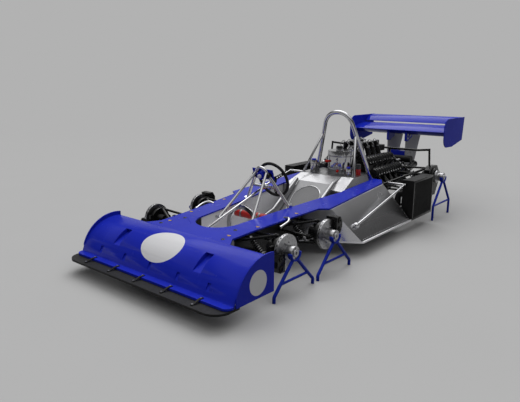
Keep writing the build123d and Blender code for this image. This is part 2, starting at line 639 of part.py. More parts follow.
def front_corner(axle, x, side):
    """Upright, hub with its disc, and stand of one front corner, on the left."""
    name = f"{axle}_{side}"
    turn = 1 if axle == "1" else -1
    bearing = Plane(origin=(x, KINGPIN_Y - 46, FRONT_HUB_Z), x_dir=(1, 0, 0), z_dir=(0, 1, 0))
    hat = FRONT_DISC_FACE - DISC_THICK - 12
    housing_end = hat - MOVE_GAP
    housing = extrude(bearing * Circle(46), housing_end - bearing.origin.Y).solid()
    drum = rod((x, housing_end - DRUM_LENGTH, FRONT_HUB_Z), (x, housing_end, FRONT_HUB_Z), DRUM_RADIUS)
    post_low = LOWER_JOINT_Z + EYE_HEIGHT / 2 + 4
    post_high = UPPER_JOINT_Z - EYE_HEIGHT / 2 - 12
    post = box((x - 20, KINGPIN_Y - 20, post_low), (x + 20, KINGPIN_Y + 20, post_high))
    pins = rod((x, KINGPIN_Y, LOWER_JOINT_Z - 12), (x, KINGPIN_Y, UPPER_JOINT_Z + 12), KINGPIN_RADIUS)
    arm_x = x - turn * STEER_ARM
    arm_low = STEER_Z - 6 - MOVE_GAP - 12
    arm = box(
        (min(x, arm_x) - 10, KINGPIN_Y - 10, arm_low), (max(x, arm_x) + 10, KINGPIN_Y + 10, arm_low + 12)
    )
    pin = rod((arm_x, KINGPIN_Y, arm_low), (arm_x, KINGPIN_Y, STEER_Z + 10), STEER_PIN)
    reach = FRONT_DISC_RADIUS + MOVE_GAP + CALIPER_REACH
    near, far = sorted((x + turn * (HAT_RADIUS + MOVE_GAP + 6), x + turn * reach))
    low, high = sorted((FRONT_HUB_Z - turn * CALIPER_LONG, FRONT_HUB_Z + turn * CALIPER_SHORT))
    caliper = box((near, FRONT_DISC_FACE - DISC_THICK - 34, low), (far, FRONT_DISC_FACE + 32, high))
    outer = [e for e in caliper.edges().filter_by(Axis.Y) if turn * (e.center().X - x) > FRONT_DISC_RADIUS]
    caliper = chamfer(outer, 40, 26).solid()
    slot = turned(
        [
            (0, FRONT_DISC_FACE - DISC_THICK - MOVE_GAP),
            (FRONT_DISC_RADIUS + MOVE_GAP, FRONT_DISC_FACE - DISC_THICK - MOVE_GAP),
            (FRONT_DISC_RADIUS + MOVE_GAP, FRONT_DISC_FACE + MOVE_GAP),
            (0, FRONT_DISC_FACE + MOVE_GAP),
        ],
        (x, 0, FRONT_HUB_Z),
    )
    near, far = sorted((x, x + turn * 100))
    pad = FRONT_DISC_FACE - DISC_THICK - 24
    mount = box((near, KINGPIN_Y + 20, FRONT_HUB_Z - 40), (far, pad, FRONT_HUB_Z + 40))
    upright = join(housing, drum, post, pins, arm, pin, mount, caliper - slot)
    bore = rod((x, 0, FRONT_HUB_Z), (x, FRONT_HUB_END, FRONT_HUB_Z), SPINDLE_RADIUS + RUN_GAP)
    upright = (upright - bore).solid()

    collar_start = FRONT_HUB_END - TIP_LENGTH - COLLAR_LENGTH
    profile = [
        (0, bearing.origin.Y + 2),
        (SPINDLE_RADIUS, bearing.origin.Y + 2),
        (SPINDLE_RADIUS, hat),
        (HAT_RADIUS, hat),
        (HAT_RADIUS, FRONT_DISC_FACE - DISC_THICK),
        (FRONT_DISC_RADIUS, FRONT_DISC_FACE - DISC_THICK),
        (FRONT_DISC_RADIUS, FRONT_DISC_FACE),
        (BARREL_RADIUS, FRONT_DISC_FACE),
        (BARREL_RADIUS, collar_start),
        (COLLAR_RADIUS, collar_start),
        (COLLAR_RADIUS, FRONT_HUB_END - TIP_LENGTH),
        (TIP_RADIUS, FRONT_HUB_END - TIP_LENGTH),
        (TIP_RADIUS, FRONT_HUB_END),
        (0, FRONT_HUB_END),
    ]
    hub = wheel_seat(turned(profile, (x, 0, FRONT_HUB_Z)), x, FRONT_HUB_END, FRONT_HUB_Z)
    vents = []
    for index in range(DISC_VENTS):
        spoke = Rot(0, 360 / DISC_VENTS * index, 0) * Pos(FRONT_DISC_RADIUS, 0, 0) * Box(VENT_DEPTH, 7, 12)
        vents.append(spoke.solid().moved(Location((x, FRONT_DISC_FACE - DISC_THICK / 2, FRONT_HUB_Z))))
    hub = (hub - vents).solid()
    stand = hub_stand(x, FRONT_HUB_END - STAND_SETBACK, FRONT_HUB_Z, FRONT_KNEE_Z, FRONT_BAR_Z)
    for piece, shape in (("upright", upright), ("hub", hub), ("stand", stand)):
        add(f"{piece}_{name}", shape if side == "left" else mirrored(shape))


def wheel_seat(hub, x, end, z):
    """Cuts the centre bore and the wheel's bolt holes into a hub's outer face."""
    hub = hub - rod((x, end - HUB_BORE_DEPTH, z), (x, end + 1, z), HUB_BORE)
    for index in range(WHEEL_HOLES):
        turn = radians(90 + 360 / WHEEL_HOLES * index)
        hole_x, hole_z = x + WHEEL_PCD / 2 * cos(turn), z + WHEEL_PCD / 2 * sin(turn)
        drill = rod((hole_x, end - WHEEL_HOLE_DEPTH, hole_z), (hole_x, end + 1, hole_z), WHEEL_HOLE_RADIUS)
        hub = hub - drill
    return hub.solid()


def hub_stand(x, face, hub_z, knee_z, bar_z):
    """A-shaped tube stand with a cup that takes a hub's collar."""
    inner = COLLAR_RADIUS + RUN_GAP
    outer = inner + STAND_CUP_WALL
    middle = face - STAND_CUP_WIDTH / 2
    place = Plane(origin=(x, face - STAND_CUP_WIDTH, hub_z), x_dir=(1, 0, 0), z_dir=(0, 1, 0))
    cup = extrude(place * Circle(outer), STAND_CUP_WIDTH) - extrude(place * Circle(inner), STAND_CUP_WIDTH)
    open_top = box(
        (x - 2 * outer, face - 2 * STAND_CUP_WIDTH, hub_z + STAND_CUP_EAR),
        (x + 2 * outer, face + STAND_CUP_WIDTH, hub_z + 2 * outer),
    )
    stand = (cup - open_top).solid()
    top_x, top_z = 0.42 * outer, hub_z - 0.84 * outer
    leg_slope = (STAND_SPREAD - top_x) / (top_z - knee_z)
    for turn in (1, -1):
        leg = bent_tube(
            [
                (x + turn * top_x, middle, top_z),
                (x + turn * STAND_SPREAD, middle, knee_z),
                (x + turn * STAND_SPREAD, middle, 0),
            ],
            STAND_TUBE,
            2 * STAND_TUBE,
        )
        stand = join(stand, leg)
    bar_x = STAND_SPREAD - leg_slope * max(bar_z - knee_z, 0)
    return join(stand, rod((x - bar_x, middle, bar_z), (x + bar_x, middle, bar_z), 0.8 * STAND_TUBE))


def front_suspension():
    """Wishbones and coil-over dampers of the four front corners."""
    wall = Plane(origin=(0, FOOTBOX_HALF, 0), z_dir=(0, 1, 0))
    for x in FRONT_AXLES.values():
        for z, inner_z in ((UPPER_JOINT_Z, 285), (LOWER_JOINT_Z, LOWER_JOINT_Z - 20)):
            arm = Solid.make_cylinder(EYE_RADIUS, EYE_HEIGHT, Plane((x, KINGPIN_Y, z - EYE_HEIGHT / 2)))
            for turn in (1, -1):
                start = (x + turn * FRONT_ARM_SPREAD, FOOTBOX_HALF - 10, inner_z)
                arm = join(arm, rod(start, (x, KINGPIN_Y, z), FRONT_ARM_TUBE))
            if z == LOWER_JOINT_Z:
                share = (DAMPER_FOOT_Y - FOOTBOX_HALF + 10) / (KINGPIN_Y - FOOTBOX_HALF + 10)
                bar_z = inner_z + share * (z - inner_z)
                reach = FRONT_ARM_SPREAD * (1 - share)
                ends = [(x + turn * reach, DAMPER_FOOT_Y, bar_z) for turn in (-1, 1)]
                arm = join(arm, rod(*ends, FRONT_ARM_TUBE))
            arm = split(arm, bisect_by=wall, keep=Keep.TOP)
            hole = rod((x, KINGPIN_Y, z - 60), (x, KINGPIN_Y, z + 60), KINGPIN_RADIUS + RUN_GAP)
            add("front_wishbones", *both_sides((arm - hole).solid()))
        top_y, top_z = FOOTBOX_HALF + 34, 292
        damper = coil_over((x, top_y, top_z), (x, DAMPER_FOOT_Y, bar_z), 26, 8)
        damper = join(damper, rod((x, FOOTBOX_HALF, top_z - 4), (x, top_y, top_z - 4), 9))
        seat = Plane((0, 0, bar_z + FRONT_ARM_TUBE))
        add("front_dampers", *both_sides(split(damper, bisect_by=seat, keep=Keep.TOP)))


def coil_over(top, bottom, spring_radius, coils):
    """Damper with a spring, its coils drawn as turned rings."""
    top, bottom = Vector(*top), Vector(*bottom)
    length = (bottom - top).length
    pitch = 0.62 * length / coils
    start = 0.16 * length
    profile = [(0, 0), (12, 0), (12, start), (spring_radius - 7, start)]
    for coil in range(coils):
        y = start + coil * pitch
        profile += [(spring_radius, y + 0.3 * pitch), (spring_radius, y + 0.6 * pitch)]
        profile += [(spring_radius - 7, y + 0.9 * pitch)]
    end = start + coils * pitch
    profile += [(spring_radius - 7, end + 4), (14, end + 4), (14, length), (0, length)]
    body = revolve(make_face(Polyline(*profile, close=True)), Axis.Y).solid()
    place = Plane(origin=top, x_dir=(1, 0, 0), z_dir=Vector(1, 0, 0).cross(bottom - top))
    return body.moved(Location(place))


def rear_corner():
    """Rear upright, hub, links, damper, driveshaft, anti-roll bar and stand, on the left."""
    x = REAR_X
    place = Plane(origin=(x, UPRIGHT_INNER, REAR_HUB_Z), x_dir=(1, 0, 0), z_dir=(0, 1, 0))
    carrier = extrude(place * Circle(0.7 * UPRIGHT_RADIUS), UPRIGHT_OUTER - UPRIGHT_INNER).solid()
    outline = [(x + 1.1 * u * UPRIGHT_RADIUS, REAR_HUB_Z + v * UPRIGHT_RADIUS) for u, v in UPRIGHT_SHAPE]
    post = side_plate(outline, UPRIGHT_INNER, UPRIGHT_OUTER - UPRIGHT_INNER - 16)
    bore = rod((x, 0, REAR_HUB_Z), (x, REAR_HUB_END, REAR_HUB_Z), SPINDLE_RADIUS + RUN_GAP)
    upright = (join(carrier, post) - bore).solid()
    add("rear_uprights", *both_sides(upright))
    collar_start = REAR_HUB_END - TIP_LENGTH - 0.8 * COLLAR_LENGTH
    profile = [
        (0, UPRIGHT_INNER + 25),
        (SPINDLE_RADIUS, UPRIGHT_INNER + 25),
        (SPINDLE_RADIUS, UPRIGHT_OUTER + MOVE_GAP),
        (REAR_FLANGE_RADIUS, UPRIGHT_OUTER + MOVE_GAP),
        (REAR_FLANGE_RADIUS, REAR_FLANGE_FACE),
        (BARREL_RADIUS, REAR_FLANGE_FACE),
        (BARREL_RADIUS, collar_start),
        (COLLAR_RADIUS, collar_start),
        (COLLAR_RADIUS, REAR_HUB_END - TIP_LENGTH),
        (TIP_RADIUS, REAR_HUB_END - TIP_LENGTH),
        (TIP_RADIUS, REAR_HUB_END),
        (0, REAR_HUB_END),
    ]
    hub = wheel_seat(turned(profile, (x, 0, REAR_HUB_Z)), x, REAR_HUB_END, REAR_HUB_Z)
    add("hub_rear_left", hub)
    add("hub_rear_right", mirrored(hub))
    stand = hub_stand(x, REAR_HUB_END - STAND_SETBACK, REAR_HUB_Z, REAR_KNEE_Z, REAR_BAR_Z)
    add("rear_stands", *both_sides(stand))

    shaft = rod((x, DIFF_HALF, REAR_HUB_Z), (x, UPRIGHT_INNER, REAR_HUB_Z), 16)
    cup_in = rod((x, DIFF_HALF, REAR_HUB_Z), (x, DIFF_HALF + 60, REAR_HUB_Z), 40)
    cup_out = rod((x, UPRIGHT_INNER - 60, REAR_HUB_Z), (x, UPRIGHT_INNER, REAR_HUB_Z), 40)
    add("driveshafts", *both_sides(join(shaft, cup_in, cup_out)))

    gearbox = pieces["gearbox"][0]
    walls = pieces["tub_side_left"][0] + gearbox + upright
    links = [
        ((POD_TAIL + 120, 395, 385), (x + 45, UPRIGHT_INNER + 10, REAR_HUB_Z + 85), 11),
        ((POD_TAIL + 40, 480, 160), (x + 45, UPRIGHT_INNER + 10, REAR_HUB_Z - 150), 11),
        ((x - 20, 90, REAR_HUB_Z + 50), (x - 20, UPRIGHT_INNER + 10, REAR_HUB_Z + 70), 10),
        ((x + 70, 90, REAR_HUB_Z - 175), (x + 20, UPRIGHT_INNER + 10, REAR_HUB_Z - 170), 10),
        ((x - 90, 90, REAR_HUB_Z - 175), (x - 30, UPRIGHT_INNER + 10, REAR_HUB_Z - 170), 10),
    ]
    for start, end, radius in links:
        add("rear_links", *both_sides(rod(start, end, radius) - walls))
    damper = coil_over((x - 72, 118, 540), (x - 45, UPRIGHT_INNER + 5, 250), 36, 10)
    add("rear_dampers", *both_sides(damper - walls))

    bar_x, bar_z, bar_y = x - 67, 628, 400
    bar = rod((bar_x, -bar_y, bar_z), (bar_x, bar_y, bar_z), ANTI_ROLL_TUBE)
    for side in (1, -1):
        tip = (x + 42, side * 550, 654)
        arm = rod((bar_x, side * (bar_y - 8), bar_z), tip, ANTI_ROLL_TUBE)
        link_top = (tip[0], tip[1], tip[2] + ANTI_ROLL_TUBE)
        link = rod(link_top, (tip[0], side * 562, REAR_HUB_Z + 100), DROP_LINK)
        leg = box((bar_x - 8, side * 85 - 8, 560), (bar_x + 8, side * 85 + 8, bar_z))
        bar = join(bar, arm, link, leg)
    for shape in both_sides(upright):
        bar = (bar - shape).solids().sort_by(SortBy.VOLUME)[-1]
    add("anti_roll_bar", bar)


def engine():
    """V8 block, heads with cam covers, inlet trumpets, exhausts and gearbox."""
    length = ENGINE_FRONT - ENGINE_BACK
    middle = (ENGINE_FRONT + ENGINE_BACK) / 2
    sump = box((ENGINE_BACK, -125, 135), (ENGINE_FRONT, 125, CRANK_Z - 40))
    case = box((ENGINE_BACK, -165, CRANK_Z - 60), (ENGINE_FRONT, 165, CRANK_Z + 70))
    block = join(sump, case)
    for lean in (-45, 45):
        frame = Location((middle, 0, CRANK_Z), (lean, 0, 0))
        bank = frame * Pos(0, 0, BANK_HEIGHT / 2) * Box(length, BANK_WIDTH, BANK_HEIGHT)
        block = join(block, bank.solid())
    front = box((ENGINE_FRONT, -150, 150), (TANK_BACK, 150, CRANK_Z + 60))
    add("engine_block", join(block, front))

    frame = Location((middle, 0, CRANK_Z), (-45, 0, 0))
    head = (frame * Pos(0, 0, BANK_HEIGHT + HEAD_HEIGHT / 2) * Box(length, HEAD_WIDTH, HEAD_HEIGHT)).solid()
    for offset in (CAM_OFFSET, -CAM_OFFSET):
        crown = frame * Pos(0, offset, BANK_HEIGHT + HEAD_HEIGHT)
        cover = crown * Rot(0, 90, 0) * Cylinder(CAM_RADIUS, length)
        head = join(head, cover.solid())
    add("cylinder_heads", *both_sides(head))

    bar = frame * Pos(0, -HEAD_WIDTH / 2 - 15, BANK_HEIGHT + 42) * Box(length - 70, 30, 64)
    row = bar.solid()
    foot_y = (BANK_HEIGHT + 42 - HEAD_WIDTH / 2 - 15) * sqrt(0.5)
    foot_z = CRANK_Z + (BANK_HEIGHT + 42 + HEAD_WIDTH / 2 + 15) * sqrt(0.5)
    rise = sqrt((TRUMPET_TOP - foot_z) ** 2 + (foot_y - TRUMPET_TOP_Y) ** 2)
    profile = [(0, 0), (TRUMPET_RADIUS, 0), (TRUMPET_RADIUS, 0.7 * rise), (TRUMPET_MOUTH, rise)]
    profile += [(TRUMPET_MOUTH - 3, rise), (TRUMPET_RADIUS - 3, 0.7 * rise), (TRUMPET_RADIUS - 3, 0.4 * rise)]
    profile += [(0, 0.4 * rise)]
    lean = degrees(atan2(foot_y - TRUMPET_TOP_Y, TRUMPET_TOP - foot_z))
    for index in range(CYLINDERS):
        x = middle + (index - (CYLINDERS - 1) / 2) * CYLINDER_PITCH
        horn = revolve(make_face(Polyline(*profile, close=True)), Axis.Y).solid()
        row = join(row, horn.moved(Location((x, foot_y, foot_z), (90 + lean, 0, 0))))
    add("inlet_trumpets", *both_sides(row - head))

    port_y = (BANK_HEIGHT + 35 + HEAD_WIDTH / 2) * sqrt(0.5)
    port_z = CRANK_Z + (BANK_HEIGHT + 35 - HEAD_WIDTH / 2) * sqrt(0.5)
    pipes = rod((ENGINE_BACK, 345, 330), (REAR_X + 33, 300, 312), 40)
    run = [(REAR_X + 38, 302, 312), (REAR_X - 117, 205, 350), (GEARBOX_BACK - 20, 185, 420)]
    pipes = join(pipes, bent_tube(run, 36, 90))
    for index in range(CYLINDERS):
        x = middle + (index - (CYLINDERS - 1) / 2) * CYLINDER_PITCH
        pipe = bent_tube([(x, port_y, port_z), (x, 348, port_z - 78), (ENGINE_BACK - 6, 345, 330)], 20, 45)
        pipes = join(pipes, pipe)
    add("exhausts", *both_sides(pipes - head))

    gear = box((GEARBOX_BACK - 60, -80, 190), (REAR_X - 107, 80, GEARBOX_TOP))
    tower = box((REAR_X - 92, -120, GEARBOX_TOP + 15), (REAR_X - 47, 120, GEARBOX_TOP + 120))
    diff = rod((REAR_X, -DIFF_HALF, REAR_HUB_Z), (REAR_X, DIFF_HALF, REAR_HUB_Z), DIFF_RADIUS)
    case = box((REAR_X - 117, -100, 180), (REAR_X + 60, 100, GEARBOX_TOP + 20))
    bell = box((REAR_X + 40, -140, 170), (ENGINE_BACK, 140, GEARBOX_TOP))
    add("gearbox", join(gear, diff, case, bell, tower))
    can_x, can_z = REAR_X - 247, GEARBOX_TOP + 60
    can = rod((can_x, 60, can_z), (can_x, 250, can_z), 36)
    add("engine_boxes", join(can, box((can_x - 12, 66, GEARBOX_TOP), (can_x + 12, 79, can_z))))
    post = box((ENGINE_BACK - 76, -20, GEARBOX_TOP), (ENGINE_BACK - 50, 20, 612))
    unit = join(post, box((ENGINE_BACK - 125, -55, 610), (ENGINE_BACK - 35, 55, 668)))
    add("engine_boxes", (unit - pieces["gearbox"][0]).solid())


def rear_wing():
    """Main plane, flap, end plates, pylons and their mount."""
    nose_x, nose_z = WING_NOSE
    slot_x, slot_z = WING_SLOT
    span = WING_HALF - WING_PLATE
    main = [(nose_x, nose_z), (nose_x - 110, nose_z + 34), (slot_x, slot_z + 5), (slot_x, slot_z)]
    main += [(nose_x - 150, nose_z - WING_BELLY)]
    flap_x, flap_z = slot_x + 26, slot_z + 20
    flap = [(flap_x, flap_z), (flap_x - 60, flap_z + 34), (-WING_TAIL, WING_TAIL_Z)]
    flap += [(-WING_TAIL, WING_TAIL_Z - 4), (flap_x - 70, flap_z + 6)]
    for points in (main, flap):
        nose_point, over, tail_top, tail_low, under = [(-x, z) for x, z in points]
        with BuildSketch(along_y(-span)) as section:
            with BuildLine():
                ThreePointArc(nose_point, over, tail_top)
                Line(tail_top, tail_low)
                ThreePointArc(tail_low, under, nose_point)
            make_face()
        add("wing_planes", extrude(section.sketch, 2 * span).solid())
    tail, crest = -WING_TAIL, WING_TAIL_Z
    outline = [(tail + 560, crest + 2), (tail, crest + 2), (tail + 30, crest - 245)]
    outline += [(tail + 330, crest - 296), (tail + 570, crest - 290), (tail + 570, crest - 120)]
    fin = side_plate(outline, span, WING_PLATE)
    corners = [e for e in fin.edges().filter_by(Axis.Y) if e.center().X > tail + 400]
    corners = [e for e in corners if abs(e.center().Z - crest + 120) > 10]
    add("wing_endplates", *both_sides(fillet(corners, WING_FIN_CORNER)))
    inside = PYLON_Y - PYLON_THICK / 2
    base = box((tail + 270, -inside, GEARBOX_TOP), (tail + 480, inside, GEARBOX_TOP + 120))
    add("wing_mount", base)
    pylon = [(tail + 494, crest - 153), (tail + 120, crest - 99), (tail + 125, crest - 225)]
    pylon += [(tail + 260, GEARBOX_TOP - 40), (tail + 480, GEARBOX_TOP - 40), (tail + 490, GEARBOX_TOP + 120)]
    pylon = side_plate(pylon, PYLON_Y - PYLON_THICK / 2, PYLON_THICK)
    pylon = (pylon - pieces["wing_planes"][0]).solid()
    add("wing_pylons", *both_sides(pylon))
    gusset = [(tail + 506, crest - 140), (tail + 506, crest - 250), (tail + 470, crest - 262)]
    gusset += [(tail + 360, crest - 215), (tail + 330, crest - 140)]
    cheek = PYLON_THICK + 2 * GUSSET_WALL
    gusset = side_plate(gusset, PYLON_Y - cheek / 2, cheek) - pieces["wing_planes"][0] - pylon
    add("wing_gussets", *both_sides(gusset))


def radiators():
    """Side radiators with their stays."""
    core = box((RADIATOR_BACK, RADIATOR_INNER, UNDERSIDE_Z), (RADIATOR_FRONT, RADIATOR_OUTER, RADIATOR_TOP))
    add("radiators", *both_sides(core))
    walls = pieces["tub_side_left"][0] + core
    foot, head = (RADIATOR_FRONT + 837, 620, 226), (RADIATOR_FRONT + 12, 618, 418)
    stay = join(rod(foot, head, 11), Solid.make_sphere(24, Plane(foot)))
    stay = join(stay, rod((head[0], head[1] + 14, head[2]), (head[0], 470, head[2]), 10))
    stay = join(stay, rod((RADIATOR_FRONT - 4, 618, head[2]), (head[0], 618, head[2]), 10))
    add("radiator_stays", *both_sides((stay - walls).solids().sort_by(SortBy.VOLUME)[-1]))
    hose_x, hose_y = RADIATOR_FRONT - 33, RADIATOR_INNER - 55
    run = [(POD_TAIL + 60, hose_y, 175), (hose_x, hose_y, 175), (hose_x, hose_y, 330)]
    hose = bent_tube(run + [(hose_x, RADIATOR_INNER + 5, 330)], 27, 50)
    add("radiator_hoses", *both_sides((hose - walls).solids().sort_by(SortBy.VOLUME)[-1]))


def seat_z(x):
    """Height of the seat's reclined back at a station."""
    return SEAT_FOOT[1] + (SEAT_FOOT[0] - x) * SEAT_RECLINE


def cockpit():
    """Seat, arch, pedals, bottles and the fittings behind the driver."""
    base = TOP_OF_FLOOR
    knee, foot, top = SEAT_FRONT, SEAT_FOOT[0], SEAT_TOP_X
    pan = [(knee, base), (foot + 24, base), (top, seat_z(top) - 8), (top, seat_z(top))]
    pan += [(foot + 20, base + 7), (knee, base + 7)]
    seat = side_plate(pan, -SEAT_HALF, 2 * SEAT_HALF)
    wing = [(knee, base), (foot + 24, base), (top, seat_z(top) - 8), (top + 8, seat_z(top) + 28)]
    wing += [(foot + 10, base + 120), (foot + 110, base + 92), (knee, base + 70)]
    for y in (-SEAT_HALF - BOLSTER, SEAT_HALF):
        bolster = side_plate(wing, y, BOLSTER)
        crest = [e for e in bolster.edges().filter_by(GeomType.LINE) if e.center().Z > base + 60]
        crest = [e for e in crest if abs(e.length) > 60 and abs((e % 0).Y) < 0.5]
        seat = join(seat, fillet(crest, 0.42 * BOLSTER))
    add("seat", seat)
    arch = Plane(origin=(ARCH_X, 0, 0), x_dir=(0, 1, 0), z_dir=(1, 0, 0))
    spring_z = ARCH_TOP - ARCH_HALF
    outer = Pos(0, spring_z) * Circle(ARCH_HALF) + Pos(0, (base + spring_z) / 2) * Rectangle(
        2 * ARCH_HALF, spring_z - base
    )
    inner_half = ARCH_HALF - ARCH_WIDTH
    inner = Pos(0, spring_z) * Circle(inner_half) + Pos(0, spring_z / 2) * Rectangle(2 * inner_half, spring_z)
    floor = Pos(0, base / 2) * Rectangle(4 * ARCH_HALF, base)
    add("scuttle_arch", extrude(arch * (outer - inner - floor), ARCH_THICK).solid())
    for y in (-110, -10, 90):
        arm = side_plate([(20, base), (36, base), (60, 240), (50, 240)], y - 6, 12)
        add("pedals", join(arm, side_plate([(44, 195), (54, 250), (48, 250), (38, 195)], y - 24, 48)))
    bottle_x, bottle_z = ARCH_X - 90, 305
    wall_y = cockpit_half(bottle_x + 9) + RAIL_LIP - SEAT_GAP
    bottle = rod((bottle_x, -150, bottle_z), (bottle_x, 150, bottle_z), 30)
    add("fire_bottles", join(bottle, rod((bottle_x, -wall_y, bottle_z), (bottle_x, wall_y, bottle_z), 9)))
    spare_x = TANK_BACK + 160
    add("fire_bottles", rod((spare_x, 232, TANK_TOP), (spare_x, 232, TANK_TOP + 95), 22))
    tank_x, tank_y, lid_z = TANK_BACK + 135, 30, TANK_TOP + OIL_TANK_HEIGHT
    tank = rod((tank_x, tank_y, TANK_TOP), (tank_x, tank_y, lid_z), OIL_TANK_RADIUS)
    add("oil_tank", join(tank, rod((tank_x + 25, tank_y, lid_z), (tank_x + 25, tank_y, lid_z + 22), 32)))
    for ahead, y, radius, height in CANISTERS:
        can_x = TANK_BACK + ahead
        add("oil_tank", rod((can_x, y, TANK_TOP), (can_x, y, TANK_TOP + height), radius))


tub()
nose()
rails()
roll_hoops()
cockpit()
steering()
for axle_name, axle_x in FRONT_AXLES.items():
    for side_name in SIDES:
        front_corner(axle_name, axle_x, side_name)
front_suspension()
engine()
rear_corner()
rear_wing()
radiators()

os.makedirs("parts", exist_ok=True)
for node, solids in pieces.items():
    shape = solids[0] if len(solids) == 1 else Compound(solids)
    export_step(shape.moved(Location((FRONT_AXLE_X, 0, 0))), os.path.join("parts", node + ".step"))
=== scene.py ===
"""Looks of an open wheel racing car that stands without wheels on hub stands.
Metres, +X forward, +Y to the driver's left, +Z up from the floor."""

from math import cos, pi, radians, sin

import bmesh
import bpy
from mathutils import Matrix, Vector
from mathutils.bvhtree import BVHTree


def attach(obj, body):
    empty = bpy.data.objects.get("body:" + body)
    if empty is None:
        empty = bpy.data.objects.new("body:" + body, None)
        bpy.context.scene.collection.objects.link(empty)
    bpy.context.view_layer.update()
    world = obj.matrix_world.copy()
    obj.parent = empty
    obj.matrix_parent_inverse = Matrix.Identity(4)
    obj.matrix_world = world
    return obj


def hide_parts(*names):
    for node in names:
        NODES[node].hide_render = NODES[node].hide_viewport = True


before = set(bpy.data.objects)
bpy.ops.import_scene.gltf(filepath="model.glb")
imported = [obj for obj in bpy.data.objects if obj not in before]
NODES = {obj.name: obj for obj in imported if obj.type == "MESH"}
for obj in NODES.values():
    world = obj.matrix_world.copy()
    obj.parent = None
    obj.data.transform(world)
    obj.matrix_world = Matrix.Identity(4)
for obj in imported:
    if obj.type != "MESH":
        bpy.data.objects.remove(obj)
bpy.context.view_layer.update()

# Stations and heights that the details share
AXLES = {"1": 1.316, "2": 0.850}
SIDES = {"left": 1, "right": -1}
CORNERS = [f"{axle}_{side}" for axle in AXLES for side in SIDES]
FRONT_HUB_Z = 0.263
FRONT_DISC_FACE = 0.644
REAR_AXLE_X = -1.137
ENGINE_MIDDLE = -0.744
ENGINE_LENGTH = 0.540
CRANK_Z = 0.288
COVER_HEIGHT = 0.330  # from the crank to the cam covers' axes, along a bank
COVER_OFFSET = 0.068
COVER_RADIUS = 0.040
CYLINDER_PITCH = 0.108
CYLINDERS = [(index - 1.5) * CYLINDER_PITCH for index in range(4)]
LEFT = Vector((0, 1, 0))
UP = Vector((0, 0, 1))
DOWN = Vector((0, 0, -1))


# Node tools

MIX_FACTOR, MIX_UNDER, MIX_OVER, MIX_RESULT = 0, 6, 7, 2  # colour sockets of a mix node
LOW_NOISE, HIGH_NOISE = 0.3, 0.7  # range in which noise mostly lies


def feed(node, values):
    """Links outputs to a node's sockets or sets fixed values on them."""
    for key, value in values.items():
        socket = node.inputs[key]
        if isinstance(value, bpy.types.NodeSocket):
            node.id_data.links.new(value, socket)
        else:
            socket.default_value = (*value, 1) if socket.type == "RGBA" else value


def added(tree, kind, values, operation=None):
    """New node of a kind with its sockets fed."""
    node = tree.nodes.new("ShaderNode" + kind)
    if operation:
        node.operation = operation
    feed(node, values)
    return node


def shader(name):
    """A new node material, its principled shader and its place in object space."""
    material = bpy.data.materials.new(name)
    material.use_nodes = True
    tree = material.node_tree
    place = added(tree, "TexCoord", {})
    return material, tree.nodes["Principled BSDF"], place.outputs["Object"]


def split(vector):
    """The three numbers of a vector."""
    return added(vector.id_data, "SeparateXYZ", {"Vector": vector}).outputs


def reckon(operation, *values):
    """Number from a calculation with numbers."""
    return added(values[0].id_data, "Math", dict(enumerate(values)), operation).outputs["Value"]


def measure(operation, *vectors):
    """Number from a calculation with vectors."""
    node = added(vectors[0].id_data, "VectorMath", dict(enumerate(vectors)), operation)
    return node.outputs["Value"]


def noise(place, scale, detail=4.0, stretch=(1, 1, 1)):
    """Noise in object space, stretched along the axes."""
    tree = place.id_data
    vector = added(tree, "Mapping", {"Vector": place, "Scale": stretch}).outputs["Vector"]
    source = added(tree, "TexNoise", {"Vector": vector, "Scale": scale, "Detail": detail})
    return source.outputs["Fac"]


def tones(value, stops):
    """Colour that follows a value through stops of position and colour."""
    node = added(value.id_data, "ValToRGB", {"Fac": value})
    elements = node.color_ramp.elements
    while len(elements) < len(stops):
        elements.new(0.5)
    for element, (position, colour) in zip(elements, stops):
        element.position = position
        element.color = (*colour, 1)
    return node.outputs["Color"]


def ramp(value, low, high, start=LOW_NOISE, end=HIGH_NOISE):
    """Colour that runs from low to high as the value rises."""
    return tones(value, [(start, low), (end, high)])


def spread(value, low, high, start=LOW_NOISE, end=HIGH_NOISE):
    """Number that runs from low to high as the value rises."""
    span = {"From Min": start, "From Max": end, "To Min": low, "To Max": high}
    return added(value.id_data, "MapRange", {"Value": value, **span}).outputs["Result"]


def bump(surface, height, strength, distance):
    """Adds bump from a height value to the shader."""
    values = {"Height": height, "Strength": strength, "Distance": distance}
    feed(surface, {"Normal": added(height.id_data, "Bump", values).outputs["Normal"]})


def blend(factor, under, over):
    """Colour that goes over to another one with a factor."""
    node = added(factor.id_data, "Mix", {})
    node.data_type = "RGBA"
    feed(node, {MIX_FACTOR: factor, MIX_UNDER: under, MIX_OVER: over})
    return node.outputs[MIX_RESULT]


def oval(place, centre, across, along):
    """One inside an oval prism: its centre and two half axes."""
    tree = place.id_data
    offset = added(tree, "VectorMath", {0: place, 1: centre}, "SUBTRACT").outputs["Vector"]
    shares = []
    for axis in (Vector(across), Vector(along)):
        shares.append(measure("DOT_PRODUCT", offset, axis / axis.length_squared))
    flat = added(tree, "CombineXYZ", dict(enumerate(shares))).outputs["Vector"]
    return spread(measure("LENGTH", flat), 1, 0, 0.99, 1.0)


# Materials

COOLNESS = 1.03  # blue of a neutral colour against its red
PAINT_MOTTLE, PAINT_WAVES = 3.0, 12.0  # noise scales of tone and of roughness
COAT_MOTTLE, COAT_WEAR = 14.0, 55.0
METAL_MOTTLE = 4.0
COAT_ROUGHNESS = 0.08
GRAIN_DEPTH = 0.0006
BRAID_SCALE = 420.0


def grey(level):
    """Neutral colour of one level."""
    return (level, level, level * COOLNESS)


